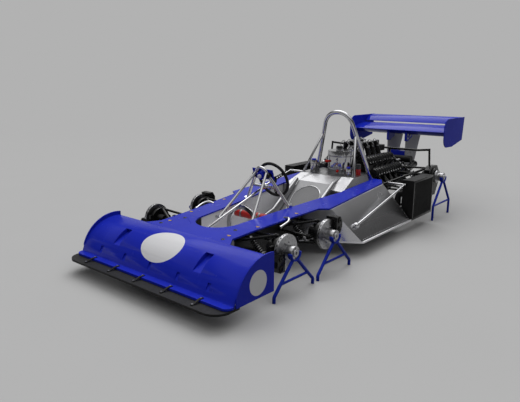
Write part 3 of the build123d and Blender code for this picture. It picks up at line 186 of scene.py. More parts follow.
def paint(name, low, high, rough=(0.22, 0.28), coat=0.04, gloss=0.06, marks=()):
    """Slightly mottled paint under a clear coat, with plain white ovals."""
    material, surface, place = shader(name)
    colour = ramp(noise(place, PAINT_MOTTLE), low, high)
    for mark in marks:
        colour = blend(oval(place, *mark), colour, grey(0.72))
    feed(surface, {
        "Base Color": colour,
        "Roughness": spread(noise(place, PAINT_WAVES), *rough),
        "Specular IOR Level": gloss,
        "Coat Weight": coat,
        "Coat Roughness": COAT_ROUGHNESS,
    })
    return material


def bottle_paint(name, low, high, neck_z):
    """Paint of a bottle with a dark neck from a height upward."""
    material, surface, place = shader(name)
    colour = ramp(noise(place, PAINT_MOTTLE), low, high)
    neck = spread(split(place)["Z"], 0, 1, neck_z, neck_z + 0.001)
    feed(surface, {"Base Color": blend(neck, colour, grey(0.03)), "Roughness": 0.3})
    return material


def coated(name, low, high, rough, grain=300.0, relief=0.2, gloss=0.15):
    """Satin, cast or moulded finish between two greys, with fine grain."""
    material, surface, place = shader(name)
    feed(surface, {
        "Base Color": ramp(noise(place, COAT_MOTTLE), grey(low), grey(high)),
        "Roughness": spread(noise(place, COAT_WEAR), *rough),
        "Specular IOR Level": gloss,
    })
    if relief:
        bump(surface, noise(place, grain, 3.0), relief, GRAIN_DEPTH)
    return material


def metal(name, low, high, rough, stretch=(1, 1, 1), grain=120.0):
    """Bare metal between two greys, with grain and uneven polish."""
    material, surface, place = shader(name)
    feed(surface, {
        "Metallic": 1.0,
        "Base Color": ramp(noise(place, METAL_MOTTLE), grey(low), grey(high)),
        "Roughness": spread(noise(place, grain, 6.0, stretch), *rough),
    })
    return material


def braid(name):
    """Braided steel hose: a fine checker as relief and tone."""
    material, surface, place = shader(name)
    checker = added(place.id_data, "TexChecker", {"Vector": place, "Scale": BRAID_SCALE})
    weave = checker.outputs["Fac"]
    colour = ramp(weave, grey(0.18), grey(0.5), 0.0, 1.0)
    feed(surface, {"Metallic": 1.0, "Roughness": 0.38, "Base Color": colour})
    bump(surface, weave, 0.4, GRAIN_DEPTH)
    return material


WALL_TAPER = 0.14  # how the cockpit's inner walls close in toward the front
WALL_REACH = 0.365  # half width between them at the origin
SHADE_FROM = (0.62, 0.70)  # stations over which painted shade takes the outside to black
POLISH_Z = (0.14, 0.36)  # heights over which the outside's polish fades
POLISH = (0.20, 0.40)  # roughness at these heights
INNER_ROUGHNESS = 0.60
NUMBER_UNDER, NUMBER_OVER, NUMBER_RESULT = 2, 3, 0  # number sockets of a mix node


def tub_sheet(name):
    """Sheet of the tub: dull inside painted pale as painted light, outside going black beside the
    feet as painted shade, a polish that fades upward.
    """
    material, surface, place = shader(name)
    along, across, height = split(place)
    reach = reckon("MULTIPLY_ADD", along, WALL_TAPER, reckon("ABSOLUTE", across))
    outside = spread(reach, 0, 1, WALL_REACH, WALL_REACH + 0.002)
    inside = spread(outside, 1, 0, 0, 1)
    # Painted shade: the outside of the sheet darkens to black toward the front, beside the feet
    black = reckon("MULTIPLY", outside, spread(along, 0, 1, *SHADE_FROM))
    tone = ramp(noise(place, METAL_MOTTLE), grey(0.50), grey(0.56))
    # Painted light: the inside's pale tone stands in for bright reflections on the inner walls
    tone = blend(inside, tone, grey(0.85))
    polish = spread(height, *POLISH, *POLISH_Z)
    rough = {MIX_FACTOR: outside, NUMBER_UNDER: INNER_ROUGHNESS, NUMBER_OVER: polish}
    feed(surface, {
        "Base Color": blend(black, tone, grey(0.04)),
        "Metallic": outside,
        "Roughness": added(place.id_data, "Mix", rough).outputs[NUMBER_RESULT],
    })
    return material


BLUE_TONES = ((0.011, 0.022, 0.42), (0.014, 0.028, 0.48))
RED_TONES = ((0.45, 0.010, 0.008), (0.56, 0.018, 0.012))
NOSE_ROUNDEL = ((1.782, 0, 0.283), (0, 0.175, 0), (0.088, 0, -0.088))
SIDE_ROUNDEL = ((1.710, 0, 0.200), (0.074, 0, 0), (0, 0, 0.074))

BLUE = paint("blue_paint", *BLUE_TONES)
WING_BLUE = paint("wing_blue", *BLUE_TONES, rough=(0.10, 0.14))
END_BLUE = paint("end_blue", *BLUE_TONES, coat=0.0, gloss=0.02)
RAIL_BLUE = paint("rail_blue", *BLUE_TONES, coat=0.16)
NOSE_BLUE = paint("nose_blue", *BLUE_TONES, marks=[NOSE_ROUNDEL])
PLATE_BLUE = paint("plate_blue", *BLUE_TONES, marks=[SIDE_ROUNDEL])
STAND_BLUE = paint("stand_blue", (0.010, 0.026, 0.36), (0.013, 0.036, 0.46), (0.25, 0.4))
BOTTLE_RED = bottle_paint("bottle_red", *RED_TONES, neck_z=0.532)
RED = paint("red_paint", *RED_TONES)
GREY_PAINT = paint("grey_paint", grey(0.34), grey(0.42), (0.3, 0.4))
WHITE_PAINT = paint("white_paint", grey(0.70), grey(0.78))
GOLD = paint("gold_paint", (0.56, 0.36, 0.08), (0.66, 0.44, 0.12))
BLACK_METAL = coated("black_metal", 0.004, 0.009, (0.25, 0.29), relief=0.0, gloss=0.25)
CAST_BLACK = coated("cast_black", 0.004, 0.009, (0.24, 0.36), 420.0, 0.1, gloss=0.35)
BLACK_PLASTIC = coated("black_plastic", 0.006, 0.011, (0.40, 0.55), 300.0, 0.04)
RUBBER = coated("rubber", 0.005, 0.010, (0.50, 0.70), 300.0, 0.15)
LEATHER = coated("black_leather", 0.007, 0.016, (0.42, 0.60), 520.0, 0.4)
CHROME = metal("chrome", 0.50, 0.56, (0.05, 0.08))
POLISHED = metal("polished_metal", 0.44, 0.50, (0.10, 0.13), grain=8.0)
SHEET = metal("sheet_aluminium", 0.50, 0.56, (0.22, 0.27), (0.15, 1, 1), 30.0)
SEAT_METAL = metal("seat_aluminium", 0.30, 0.36, (0.26, 0.32), (1, 0.2, 1), 30.0)
DARK_SHEET = metal("dark_aluminium", 0.16, 0.20, (0.20, 0.26), (1, 0.2, 1), 30.0)
TUB_SHEET = tub_sheet("tub_aluminium_painted_light_and_shade")
FLOOR_SHEET = metal("floor_aluminium", 0.70, 0.78, (0.40, 0.46), (0.15, 1, 1), 30.0)
STEEL = metal("steel", 0.28, 0.38, (0.25, 0.4))
DISC_IRON = metal("disc_iron", 0.34, 0.38, (0.28, 0.32), grain=10.0)
BRAIDED = braid("braided_hose")

# Slots of the materials; gold and white materials have none
SLOTS = {
    "blue_paint": [BLUE],
    "red_paint": [RED],
    "black_metal": [BLACK_METAL, CAST_BLACK, BLACK_PLASTIC, RUBBER],
    "black_leather": [LEATHER],
    "chrome": [CHROME],
    "polished_metal": [POLISHED, STEEL, BRAIDED],
    "sheet_aluminium": [SHEET, DARK_SHEET],
}
SLOT_OF = {material.name: slot for slot, materials in SLOTS.items() for material in materials}


# Finish of the frame's own nodes

# Nodes that aren't black metal
FINISHES = [
    (NOSE_BLUE, ["nose_shell"]),
    (PLATE_BLUE, ["nose_endplates"]),
    (RAIL_BLUE, ["cockpit_rails"]),
    (BLUE, ["dash_panel", "wing_mount", "wing_gussets"]),
    (WING_BLUE, ["wing_planes"]),
    (END_BLUE, ["wing_endplates"]),
    (GREY_PAINT, ["wing_pylons"]),
    (BLACK_PLASTIC, ["splitter", "splitter_stays", "engine_boxes", "radiators"]),
    (TUB_SHEET, ["tub_side_left", "tub_side_right"]),
    (FLOOR_SHEET, ["tub_floor", "front_bulkhead"]),
    (SEAT_METAL, ["tank_cover", "seat"]),
    (POLISHED, ["scuttle_arch", "pedals", "oil_tank"]),
    (CHROME, ["main_hoop", "hoop_stays", "front_hoop", "radiator_stays", "steering_column"]),
    (LEATHER, ["steering_wheel"]),
    (BOTTLE_RED, ["fire_bottles"]),
    (CAST_BLACK, ["engine_block", "cylinder_heads", "gearbox"]),
    (RUBBER, ["radiator_hoses"]),
    (STAND_BLUE, ["rear_stands"] + [f"stand_{corner}" for corner in CORNERS]),
    (DISC_IRON, ["hub_rear_left", "hub_rear_right"] + [f"hub_{corner}" for corner in CORNERS]),
]
ROUND_EDGE = 0.0015
WELD_GAP = 0.00002
SHARP_ANGLE = radians(35)


def dress(node, material):
    """Gives a CAD node its material and slightly rounded edges."""
    target = NODES[node]
    target.data.materials.clear()
    target.data.materials.append(material)
    weld = target.modifiers.new("weld", "WELD")
    weld.merge_threshold = WELD_GAP
    round_off = target.modifiers.new("round", "BEVEL")
    round_off.width = ROUND_EDGE
    round_off.segments = 2
    round_off.limit_method = "ANGLE"
    round_off.angle_limit = SHARP_ANGLE
    round_off.harden_normals = True


FINISH_OF = {node: finish for finish, nodes in FINISHES for node in nodes}
for node in NODES:
    dress(node, FINISH_OF.get(node, BLACK_METAL))


# Mesh tools: a shape is a list of points and a list of faces

HOLE_SIDES = 14


def angles(count):
    """Even turns round a circle."""
    return [2 * pi * step / count for step in range(count)]


def polar(radius, turn, height=0.0):
    """Point about Z by its radius, turn and height."""
    return Vector((radius * cos(turn), radius * sin(turn), height))


def circle(radius, count, first=0.0):
    """Even points round Z, from a share of a step onward."""
    return [polar(radius, 2 * pi * (step + first) / count) for step in range(count)]


def merged(*shapes):
    """Several shapes as one."""
    points, faces = [], []
    for some_points, some_faces in shapes:
        start = len(points)
        points += some_points
        faces += [[index + start for index in face] for face in some_faces]
    return points, faces


def placed(shape, matrix):
    """A shape moved by a matrix."""
    return [matrix @ Vector(point) for point in shape[0]], shape[1]


def shifted(shape, *offset):
    """A shape moved without a turn."""
    return placed(shape, Matrix.Translation(offset))


def copies(shape, matrices):
    """One shape repeated at several places."""
    return merged(*[placed(shape, matrix) for matrix in matrices])


def both(*shapes):
    """Shapes and their mirror images across the centre plane."""
    points, faces = merged(*shapes)
    other = [Vector((x, -y, z)) for x, y, z in points]
    return merged((points, faces), (other, [face[::-1] for face in faces]))


def facing(place, normal):
    """Matrix that sets a shape down at a place with its Z along the normal."""
    turn = Vector(normal).to_track_quat("Z", "Y").to_matrix().to_4x4()
    return Matrix.Translation(place) @ turn


def skin(rings, segments, closed=False):
    """Faces over a row of rings of points, with ends unless it is closed."""
    faces = []
    for ring in range(rings if closed else rings - 1):
        low, high = ring * segments, (ring + 1) % rings * segments
        for step in range(segments):
            after = (step + 1) % segments
            faces.append([low + step, low + after, high + after, high + step])
    if not closed:
        faces.append(list(range(segments))[::-1])
        faces.append([(rings - 1) * segments + step for step in range(segments)])
    return faces


def lathe(profile, segments):
    """Turned shape about Z from points of radius and height."""
    points = []
    for radius, height in profile:
        points += [polar(radius, turn, height) for turn in angles(segments)]
    return points, skin(len(profile), segments)


def sweep(path, radius, segments, closed=False):
    """Round tube along a path."""
    path = [Vector(point) for point in path]
    count = len(path)
    points = []
    across = None
    for index, point in enumerate(path):
        ahead = path[(index + 1) % count] if closed or index < count - 1 else point
        behind = path[index - 1] if closed or index > 0 else point
        along = (ahead - behind).normalized()
        if across is None:
            across = along.orthogonal().normalized()
        across = (across - along * across.dot(along)).normalized()
        over = along.cross(across)
        for turn in angles(segments):
            points.append(point + radius * (across * cos(turn) + over * sin(turn)))
    return points, skin(count, segments, closed)


def curved(corners, steps=6):
    """Smooth path through its corners."""
    corners = [Vector(corner) for corner in corners]
    padded = [2 * corners[0] - corners[1]] + corners + [2 * corners[-1] - corners[-2]]
    path = []
    for index in range(1, len(padded) - 2):
        a, b, c, d = padded[index - 1:index + 3]
        for step in range(steps):
            t = step / steps
            path.append(0.5 * (2 * b + (c - a) * t + (2 * a - 5 * b + 4 * c - d) * t * t
                               + (3 * b - a - 3 * c + d) * t ** 3))
    return path + [corners[-1]]


def brick(low, high, round_edge=0.0):
    """Box between two corners, with rounded edges."""
    mesh = bmesh.new()
    bmesh.ops.create_cube(mesh, size=1.0)
    low, high = Vector(low), Vector(high)
    for vertex in mesh.verts:
        vertex.co = Vector(low[i] + (vertex.co[i] + 0.5) * (high[i] - low[i]) for i in range(3))
    if round_edge:
        bmesh.ops.bevel(mesh, geom=mesh.edges[:], offset=round_edge, segments=2, profile=0.5,
                        affect="EDGES")
    mesh.verts.index_update()
    points = [vertex.co.copy() for vertex in mesh.verts]
    faces = [[vertex.index for vertex in face.verts] for face in mesh.faces]
    mesh.free()
    return points, faces


def cut_plate(outline, thickness, holes=()):
    """Flat plate in XY from outline points, with round holes of place and radius."""
    curve = bpy.data.curves.new("plate", "CURVE")
    curve.dimensions = "2D"
    curve.fill_mode = "BOTH"
    curve.extrude = thickness / 2
    loops = [outline]
    for (x, y), radius in holes:
        loops.append([(x + spot.x, y + spot.y) for spot in circle(radius, HOLE_SIDES)])
    for loop in loops:
        spline = curve.splines.new("POLY")
        spline.points.add(len(loop) - 1)
        for point, (x, y) in zip(spline.points, loop):
            point.co = (x, y, 0, 1)
        spline.use_cyclic_u = True
    holder = bpy.data.objects.new("plate", curve)
    mesh = bpy.data.meshes.new_from_object(holder)
    points = [vertex.co.copy() for vertex in mesh.vertices]
    faces = [list(face.vertices) for face in mesh.polygons]
    bpy.data.objects.remove(holder)
    bpy.data.curves.remove(curve)
    bpy.data.meshes.remove(mesh)
    return points, faces


def bolt_head(radius, height):
    """Hexagon head with a chamfered top."""
    return lathe([(radius, 0), (radius, 0.8 * height), (0.86 * radius, height)], 6)


def bolt(washer, thickness, radius, height, segments=12):
    """Hexagon head on a round washer."""
    return merged(lathe([(washer, 0), (washer, thickness)], segments), bolt_head(radius, height))


def rivet_head(radius):
    """Low domed rivet head."""
    dome = [(radius, -0.0005), (0.92 * radius, 0.3 * radius), (0.55 * radius, 0.55 * radius)]
    return lathe(dome, 8)


def band(radius, half, thickness, segments):
    """Thin hoop about Z with chamfered edges."""
    outer, flat = radius + thickness, half - 0.001
    return lathe([(radius, -half), (outer, -flat), (outer, flat), (radius, half)], segments)


def piece(name, shape, material, body="car", slot=None):
    """Makes a shape or a list of shapes into a piece that rides on a body."""
    points, faces = merged(*shape) if isinstance(shape, list) else shape
    mesh = bpy.data.meshes.new(name)
    mesh.from_pydata([tuple(point) for point in points], [], faces)
    mesh.materials.append(material)
    mesh.polygons.foreach_set("use_smooth", [True] * len(mesh.polygons))
    mesh.set_sharp_from_angle(angle=SHARP_ANGLE)
    made = bpy.data.objects.new(name, mesh)
    bpy.context.scene.collection.objects.link(made)
    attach(made, body)
    slot = slot or SLOT_OF.get(material.name)
    return made


SURFACES = {}


def probe(node, start, toward):
    """Point and outward normal where a ray meets a CAD node."""
    if node not in SURFACES:
        mesh = NODES[node].data
        points = [vertex.co for vertex in mesh.vertices]
        SURFACES[node] = BVHTree.FromPolygons(points, [face.vertices for face in mesh.polygons])
    toward = Vector(toward).normalized()
    place, normal, _, _ = SURFACES[node].ray_cast(Vector(start), toward)
    if place is None:
        raise ValueError(f"no surface of {node} from {tuple(start)}")
    return place, normal if normal.dot(toward) < 0 else -normal


def seated(node, starts, toward):
    """Matrices that set shapes down where rays meet a node."""
    return [facing(*probe(node, start, toward)) for start in starts]


def between(start, end, count):
    """Evenly spaced points from start to end."""
    start, end = Vector(start), Vector(end)
    return [start.lerp(end, index / (count - 1)) for index in range(count)]


# Details of the body

ABOVE = 1.0  # height from which rays look down on the car
BESIDE = 0.3  # distance from which rays look at the pods
DECK_FASTENERS = [
    ("cockpit_rails", 1.226, 0.328), ("cockpit_rails", 0.835, 0.364), ("nose_shell", 1.466, 0.290),
]
DECK_LATCHES = [(1.536, 0.304), (1.361, 0.249)]
# Rivet rows of the deck: node, station and half width at each end, count
DECK_ROWS = [
    ("nose_shell", (1.35, 0.235), (1.42, 0.12), 5),
    ("nose_shell", (1.47, 0.33), (1.32, 0.345), 6),
    ("cockpit_rails", (1.27, 0.350), (0.66, 0.405), 20),
    ("cockpit_rails", (0.58, 0.475), (-0.30, 0.436), 24),
]
FOOT_ROW = (1.44, 0.74, 0.155, 24)  # rivets beside the feet: stations, height, count
# Rivet rows of a pod: station and height at each end, count
POD_ROWS = [
    ((0.41, 0.128), (-0.39, 0.128), 28),
    ((-0.395, 0.145), (-0.340, 0.335), 8),
]
POD_RING = (-0.180, 0.330, 0.045, 14)  # ring of rivets: station, height, radius, count
POD_FOOT_HALF, POD_FOOT_Z, POD_LEAN = 0.702, 0.105, 0.785
POD_INWARD = (0.786, 0.617)  # inward and downward shares of a pod's normal


def on_deck(node, x, y):
    """Matrices at a place of the deck and at its mirror image."""
    return seated(node, [(x, y, ABOVE), (x, -y, ABOVE)], DOWN)


def deck_details():
    """Quarter-turn fasteners, dark latches and rivets on the blue deck."""
    heads, latches, rivets = [], [], []
    for node, x, y in DECK_FASTENERS:
        heads += on_deck(node, x, y)
    for x, y in DECK_LATCHES:
        latches += on_deck("nose_shell", x, y)
    for node, first, last, count in DECK_ROWS:
        for x, y in between(first, last, count):
            rivets += on_deck(node, x, y)
    head = merged(lathe([(0.011, 0), (0.011, 0.0012), (0.009, 0.002)], 16),
                  brick((-0.016, -0.003, 0.001), (0.016, 0.003, 0.0035), 0.0006))
    latch = merged(lathe([(0.014, 0), (0.014, 0.001), (0.012, 0.002), (0.006, 0.002)], 18),
                   brick((-0.010, -0.002, 0.001), (0.010, 0.002, 0.004), 0.0006))
    piece("deck_fasteners", copies(head, heads), GOLD)
    piece("deck_latches", copies(latch, latches), BLACK_METAL)
    piece("deck_rivets", copies(rivet_head(0.004), rivets), BLUE)


def tub_details():
    """Rivet rows on the tub sides and along the pods' edges."""
    rivets = []
    front, back, height, feet = FOOT_ROW
    ring_x, ring_z, *ring = POD_RING
    places = [place for row in POD_ROWS for place in between(*row)]
    places += [(ring_x + spot.x, ring_z + spot.y) for spot in circle(*ring)]
    for name, side in SIDES.items():
        node = f"tub_side_{name}"
        foot_row = between((front, side, height), (back, side, height), feet)
        rivets += seated(node, foot_row, (0, -side, 0))
        inward = Vector((0, -side * POD_INWARD[0], -POD_INWARD[1]))
        starts = []
        for x, z in places:
            y = POD_FOOT_HALF - POD_LEAN * (z - POD_FOOT_Z)
            starts.append(Vector((x, side * y, z)) - BESIDE * inward)
        rivets += seated(node, starts, inward)
    piece("tub_rivets", copies(rivet_head(0.0035), rivets), SHEET)


# Details of the engine

BANK_ANGLE = radians(45)
COVER_RIBS = 11
RIB_INSET = 0.025  # from the covers' ends to the first rib
COVER_BOLT = 0.022  # from a rib to the bolts behind it
TRUMPET_TOP = 0.728
TRUMPET_TOP_Y = 0.072
GUARD_RADIUS = 0.031
GUARD_RISE = 0.012
GUARD_WIRE = 0.0011
GUARD_HOOPS = [(GUARD_RADIUS, 0.0), (0.024, 0.007), (0.012, 0.011)]  # radius, rise
FUEL_RAIL_Y = 0.018
FUEL_RAIL_Z = 0.688
FUEL_RAIL_HALF = 0.22
LEAD_END = (-0.49, 0.05, 0.56)


def aside(degrees):
    """Direction across a bank, by its angle from the cylinders."""
    return Vector((0, sin(radians(degrees)), cos(radians(degrees))))


def cam_covers():
    """Ribs and bolts of the cam covers, plug caps and leads between them."""
    ribs, bolts, plugs, leads = [], [], [], []
    arch = [(COVER_RADIUS + 0.002) * aside(degrees) for degrees in range(-100, 101, 20)]
    reach = ENGINE_LENGTH / 2 - RIB_INSET
    end_x, end_y, end_z = LEAD_END
    for side in (1, -1):
        bank = Matrix.Translation((ENGINE_MIDDLE, 0, CRANK_Z))
        bank = bank @ Matrix.Rotation(-side * BANK_ANGLE, 4, "X")
        for offset in (COVER_OFFSET, -COVER_OFFSET):
            axis = Vector((0, offset, COVER_HEIGHT))
            for index in range(COVER_RIBS):
                centre = axis + Vector((reach * (2 * index / (COVER_RIBS - 1) - 1), 0, 0))
                ribs.append(placed(sweep([centre + step for step in arch], 0.0045, 6), bank))
                if index == COVER_RIBS - 1:
                    continue
                for degrees in (-62, 62):
                    out = aside(degrees)
                    spot = centre + Vector((COVER_BOLT, 0, 0)) + out * (COVER_RADIUS - 0.001)
                    bolts.append(bank @ facing(spot, out))
        for index, x in enumerate(CYLINDERS):
            plug = bank @ facing((x, 0, COVER_HEIGHT), UP)
            plugs.append(plug)
            start, rise = plug @ Vector((0, 0, 0.036)), plug @ Vector((0.01, 0, 0.075))
            end = Vector((end_x, side * (end_y + 0.012 * index), end_z))
            middle = rise.lerp(end, 0.55) + Vector((0, side * 0.02, 0.02))
            leads.append(sweep(curved([start, rise, middle, end]), 0.0042, 6))
    cap = lathe([(0.014, 0), (0.014, 0.006), (0.010, 0.008), (0.010, 0.035), (0.007, 0.040)], 12)
    piece("cam_cover_ribs", ribs, CAST_BLACK)
    piece("cam_cover_bolts", copies(bolt(0.0085, 0.003, 0.0055, 0.009), bolts), POLISHED)
    piece("spark_plug_caps", copies(cap, plugs), RUBBER)
    piece("ignition_leads", leads, RUBBER)


def guard(mouth):
    """Wire guard over the mouth of a trumpet."""
    wires = []
    for turn in range(0, 180, 30):
        cross = polar(GUARD_RADIUS, radians(turn))
        bow = []
        for rise in range(0, 181, 20):
            rise = radians(rise)
            bow.append(mouth + cross * cos(rise) + UP * GUARD_RISE * sin(rise))
        wires.append(sweep(bow, GUARD_WIRE, 4))
    for radius, height in GUARD_HOOPS:
        hoop = [mouth + polar(radius, turn, height) for turn in angles(18)]
        wires.append(sweep(hoop, GUARD_WIRE, 4, closed=True))
    return merged(*wires)


def injection():
    """Fuel rails, injector lines and wire guards over the inlet trumpets."""
    guards, lines, ends, rails = [], [], [], []
    for side in (1, -1):
        for x in CYLINDERS:
            mouth = Vector((ENGINE_MIDDLE + x, side * TRUMPET_TOP_Y, TRUMPET_TOP))
            guards.append(guard(mouth))
            inlet = mouth + Vector((0.018, side * 0.026, -0.050))
            bend = inlet + Vector((0.02, side * 0.02, 0.03))
            crown = mouth + Vector((0.035, side * 0.005, 0.022))
            rail = Vector((ENGINE_MIDDLE + x + 0.02, side * FUEL_RAIL_Y, FUEL_RAIL_Z + 0.002))
            lines.append(sweep(curved([inlet, bend, crown, rail]), 0.0032, 6))
            ends.append(facing(inlet, (0.4, side * 0.6, 0.5)))
        tips = (ENGINE_MIDDLE - FUEL_RAIL_HALF, ENGINE_MIDDLE + FUEL_RAIL_HALF)
        rails.append(sweep([(x, side * FUEL_RAIL_Y, FUEL_RAIL_Z) for x in tips], 0.009, 10))
    for offset in (-0.2, 0, 0.2):
        x = ENGINE_MIDDLE + offset
        rails.append(brick((x - 0.01, -0.03, 0.55), (x + 0.01, 0.03, 0.685), 0.002))
    fitting = merged(bolt_head(0.0075, 0.010), bolt_head(0.0055, 0.018))
    piece("trumpet_guards", guards, POLISHED)
    piece("injector_lines", lines, BRAIDED)
    piece("injector_fittings", copies(fitting, ends), POLISHED)
    piece("fuel_rails", rails, POLISHED)


# Details of the radiators

RADIATOR_X = (-0.856, -0.426)
RADIATOR_Z = (0.105, 0.458)
RIM = 0.020  # width of a radiator's edge frame
RADIATOR_FACES = [(0.698, 0.703), (0.597, 0.602)]  # half widths between which a face has its trim
GRILLE_BARS, GRILLE_ROWS = 34, 28


def middles(low, high, count):
    """Middles of even steps from low to high."""
    return [low + (index + 0.5) * (high - low) / count for index in range(count)]


def radiator_faces():
    """Edge frames and fine grilles on the faces of the side radiators."""
    back, front = RADIATOR_X
    low, high = RADIATOR_Z
    x1, x2, z1, z2 = back + RIM, front - RIM, low + RIM, high - RIM
    rim = [
        ((back, low), (front, z1)), ((back, z2), (front, high)),
        ((back, z1), (x1, z2)), ((x2, z1), (front, z2)),
    ]
    rims, grilles = [], []
    for inner, outer in RADIATOR_FACES:
        for first, last in rim:
            rims.append(brick((first[0], inner, first[1]), (last[0], outer, last[1]), 0.001))
        y = (inner + outer) / 2
        for x in middles(x1, x2, GRILLE_BARS):
            grilles.append(brick((x - 0.0012, y - 0.0015, z1), (x + 0.0012, y + 0.0015, z2)))
        for z in middles(z1, z2, GRILLE_ROWS):
            grilles.append(brick((x1, y - 0.0012, z - 0.001), (x2, y + 0.0012, z + 0.001)))
    piece("radiator_rims", both(*rims), BLACK_METAL)
    piece("radiator_grilles", both(*grilles), BLACK_PLASTIC)


# Details of the suspension and hubs

COIL_STEPS = 18  # steps in a turn of a spring
COIL_SPAN = (0.15, 0.80)  # ends of a spring, as shares of the damper's length
FRONT_DAMPER = ((0.344, 0.292), (0.470, 0.1795))  # half width and height, top and foot
FRONT_PIVOT = (0.310, 0.004)  # inner end of a top pivot, and its drop
REAR_DAMPER = ((-0.072, 0.118, 0.540), (-0.045, 0.550, 0.250))  # from the rear axle


def spring_strut(top, bottom, spring, wire, turns):
    """Damper with collars and end eyes, and its spring, as two shapes."""
    top, bottom = Vector(top), Vector(bottom)
    length = (bottom - top).length
    seat = facing(top, bottom - top)
    # Radius, and height as a share of the length
    profile = [
        (0.009, 0), (0.009, 0.12), (0.6 * spring, 0.125), (0.9 * spring, 0.13),
        (0.9 * spring, 0.15), (0.010, 0.155), (0.010, 0.42), (0.016, 0.43), (0.016, 0.80),
        (0.95 * spring, 0.805), (0.95 * spring, 0.83), (0.016, 0.84), (0.014, 1),
    ]
    tube = lathe([(radius, share * length) for radius, share in profile], 20)
    eye = lathe([(0.010, -0.010), (0.014, -0.008), (0.014, 0.008), (0.010, 0.010)], 14)
    eye = placed(eye, seat @ Matrix.Rotation(pi / 2, 4, "X"))
    first, last = COIL_SPAN
    steps = COIL_STEPS * turns
    coil = []
    for step in range(steps + 1):
        height = (first + (last - first) * step / steps) * length
        coil.append(seat @ polar(spring - wire, 2 * pi * step / COIL_STEPS, height))
    body = merged(placed(tube, seat), eye, shifted(eye, *(bottom - top)))
    return body, sweep(coil, wire, 8)


def dampers():
    """Coil-over dampers in place of the plain ones."""
    bodies, coils = [], []
    (top_y, top_z), (foot_y, foot_z) = FRONT_DAMPER
    pivot_y, drop = FRONT_PIVOT
    for x in AXLES.values():
        body, coil = spring_strut((x, top_y, top_z), (x, foot_y, foot_z), 0.026, 0.0042, 7)
        pivot = sweep([(x, pivot_y, top_z - drop), (x, top_y, top_z - drop)], 0.009, 12)
        bodies.append(merged(body, pivot))
        coils.append(coil)
    front = piece("front_damper_bodies", both(*bodies), STEEL)
    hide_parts("front_dampers")
    piece("front_springs", both(*coils), BLACK_METAL)
    top, foot = [(REAR_AXLE_X + x, y, z) for x, y, z in REAR_DAMPER]
    body, coil = spring_strut(top, foot, 0.036, 0.0055, 9)
    rear = piece("rear_damper_bodies", both(body), STEEL)
    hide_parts("rear_dampers")
    piece("rear_springs", both(coil), BLACK_METAL)


DISC_HALF = 0.011
# Circles on the discs: radius, count, first place as a share of a step
DISC_BOLTS = (0.056, 8, 0.5)
HOLE_SHADE_CIRCLES = [(0.093, 12, 0.0), (0.079, 12, 0.5)]
VENT_HALF = 0.007  # half height of the black rings inside the discs' vents: painted shade
VENT_RADII = (0.097, 0.1035)
CALIPER_FACE = 0.676
CALIPER_REACH = 0.098  # from the hub's middle to the caps, along the car
CALIPER_CAPS = (0.020, 0.085)  # heights of the caps from the hub's middle


def hub_details():
    """Bolts of the front discs, dark discs and black rings as painted shade in their holes and
    vents, caliper caps.
    """
    # Dark discs on the drilled holes: painted shade in the holes
    hole_shade = lathe([(0.0055, -0.0002), (0.0055, 0.0003), (0.0048, 0.0003), (0.0042, -0.0006)], 10)
    cap = merged(lathe([(0.022, -0.001), (0.022, 0.004), (0.019, 0.006), (0.008, 0.006)], 20),
                 shifted(bolt_head(0.007, 0.005), 0, 0, 0.006))
    inner, outer = VENT_RADII
    vent_shade_profile = [(inner, -VENT_HALF), (outer, -VENT_HALF), (outer, VENT_HALF), (inner, VENT_HALF)]
    for axle, x in AXLES.items():
        ahead = 1 if axle == "1" else -1
        for name, side in SIDES.items():
            corner = f"{axle}_{name}"
            hub = f"hub_{corner}"

            def outward(along, height, half_width=FRONT_DISC_FACE):
                """Matrix beside the hub's middle that looks outward."""
                place = (x + along, side * half_width, FRONT_HUB_Z + height)
                return facing(place, (0, side, 0))

            bolts = [outward(*spot.xy) for spot in circle(*DISC_BOLTS)]
            hole_shades = [outward(*spot.xy) for row in HOLE_SHADE_CIRCLES for spot in circle(*row)]
            caps = [outward(ahead * CALIPER_REACH, -ahead * height, CALIPER_FACE)
                    for height in CALIPER_CAPS]
            # Black ring inside the vents: painted shade
            vents = placed(lathe(vent_shade_profile, 48), outward(0, 0, FRONT_DISC_FACE - DISC_HALF))
            screw = bolt(0.0075, 0.0015, 0.0055, 0.006)
            piece(f"disc_bolts_{corner}", copies(screw, bolts), POLISHED, hub)
            piece(f"disc_hole_shades_{corner}", copies(hole_shade, hole_shades), BLACK_METAL, hub)
            piece(f"caliper_caps_{corner}", copies(cap, caps), BLACK_METAL, f"knuckle_{corner}")
            piece(f"disc_vent_shades_{corner}", vents, BLACK_METAL, hub)


# Details of the cockpit

WHEEL_CENTRE = Vector((0.648, 0, 0.542))
WHEEL_RADIUS = 0.138
RIM_RADIUS = 0.012
COLUMN_FALL = radians(18)
STITCHES = 96
BOSS_BOLT_CIRCLE = 0.024
SPOKE = [
    (0.020, -0.017), (0.060, -0.013), (0.132, -0.011),
    (0.132, 0.011), (0.060, 0.013), (0.020, 0.017),
]
SPOKE_HOLES = [((0.052, 0), 0.0075), ((0.078, 0), 0.0065), ((0.102, 0), 0.0055)]
SPOKE_TURNS = (30, 150, 270)


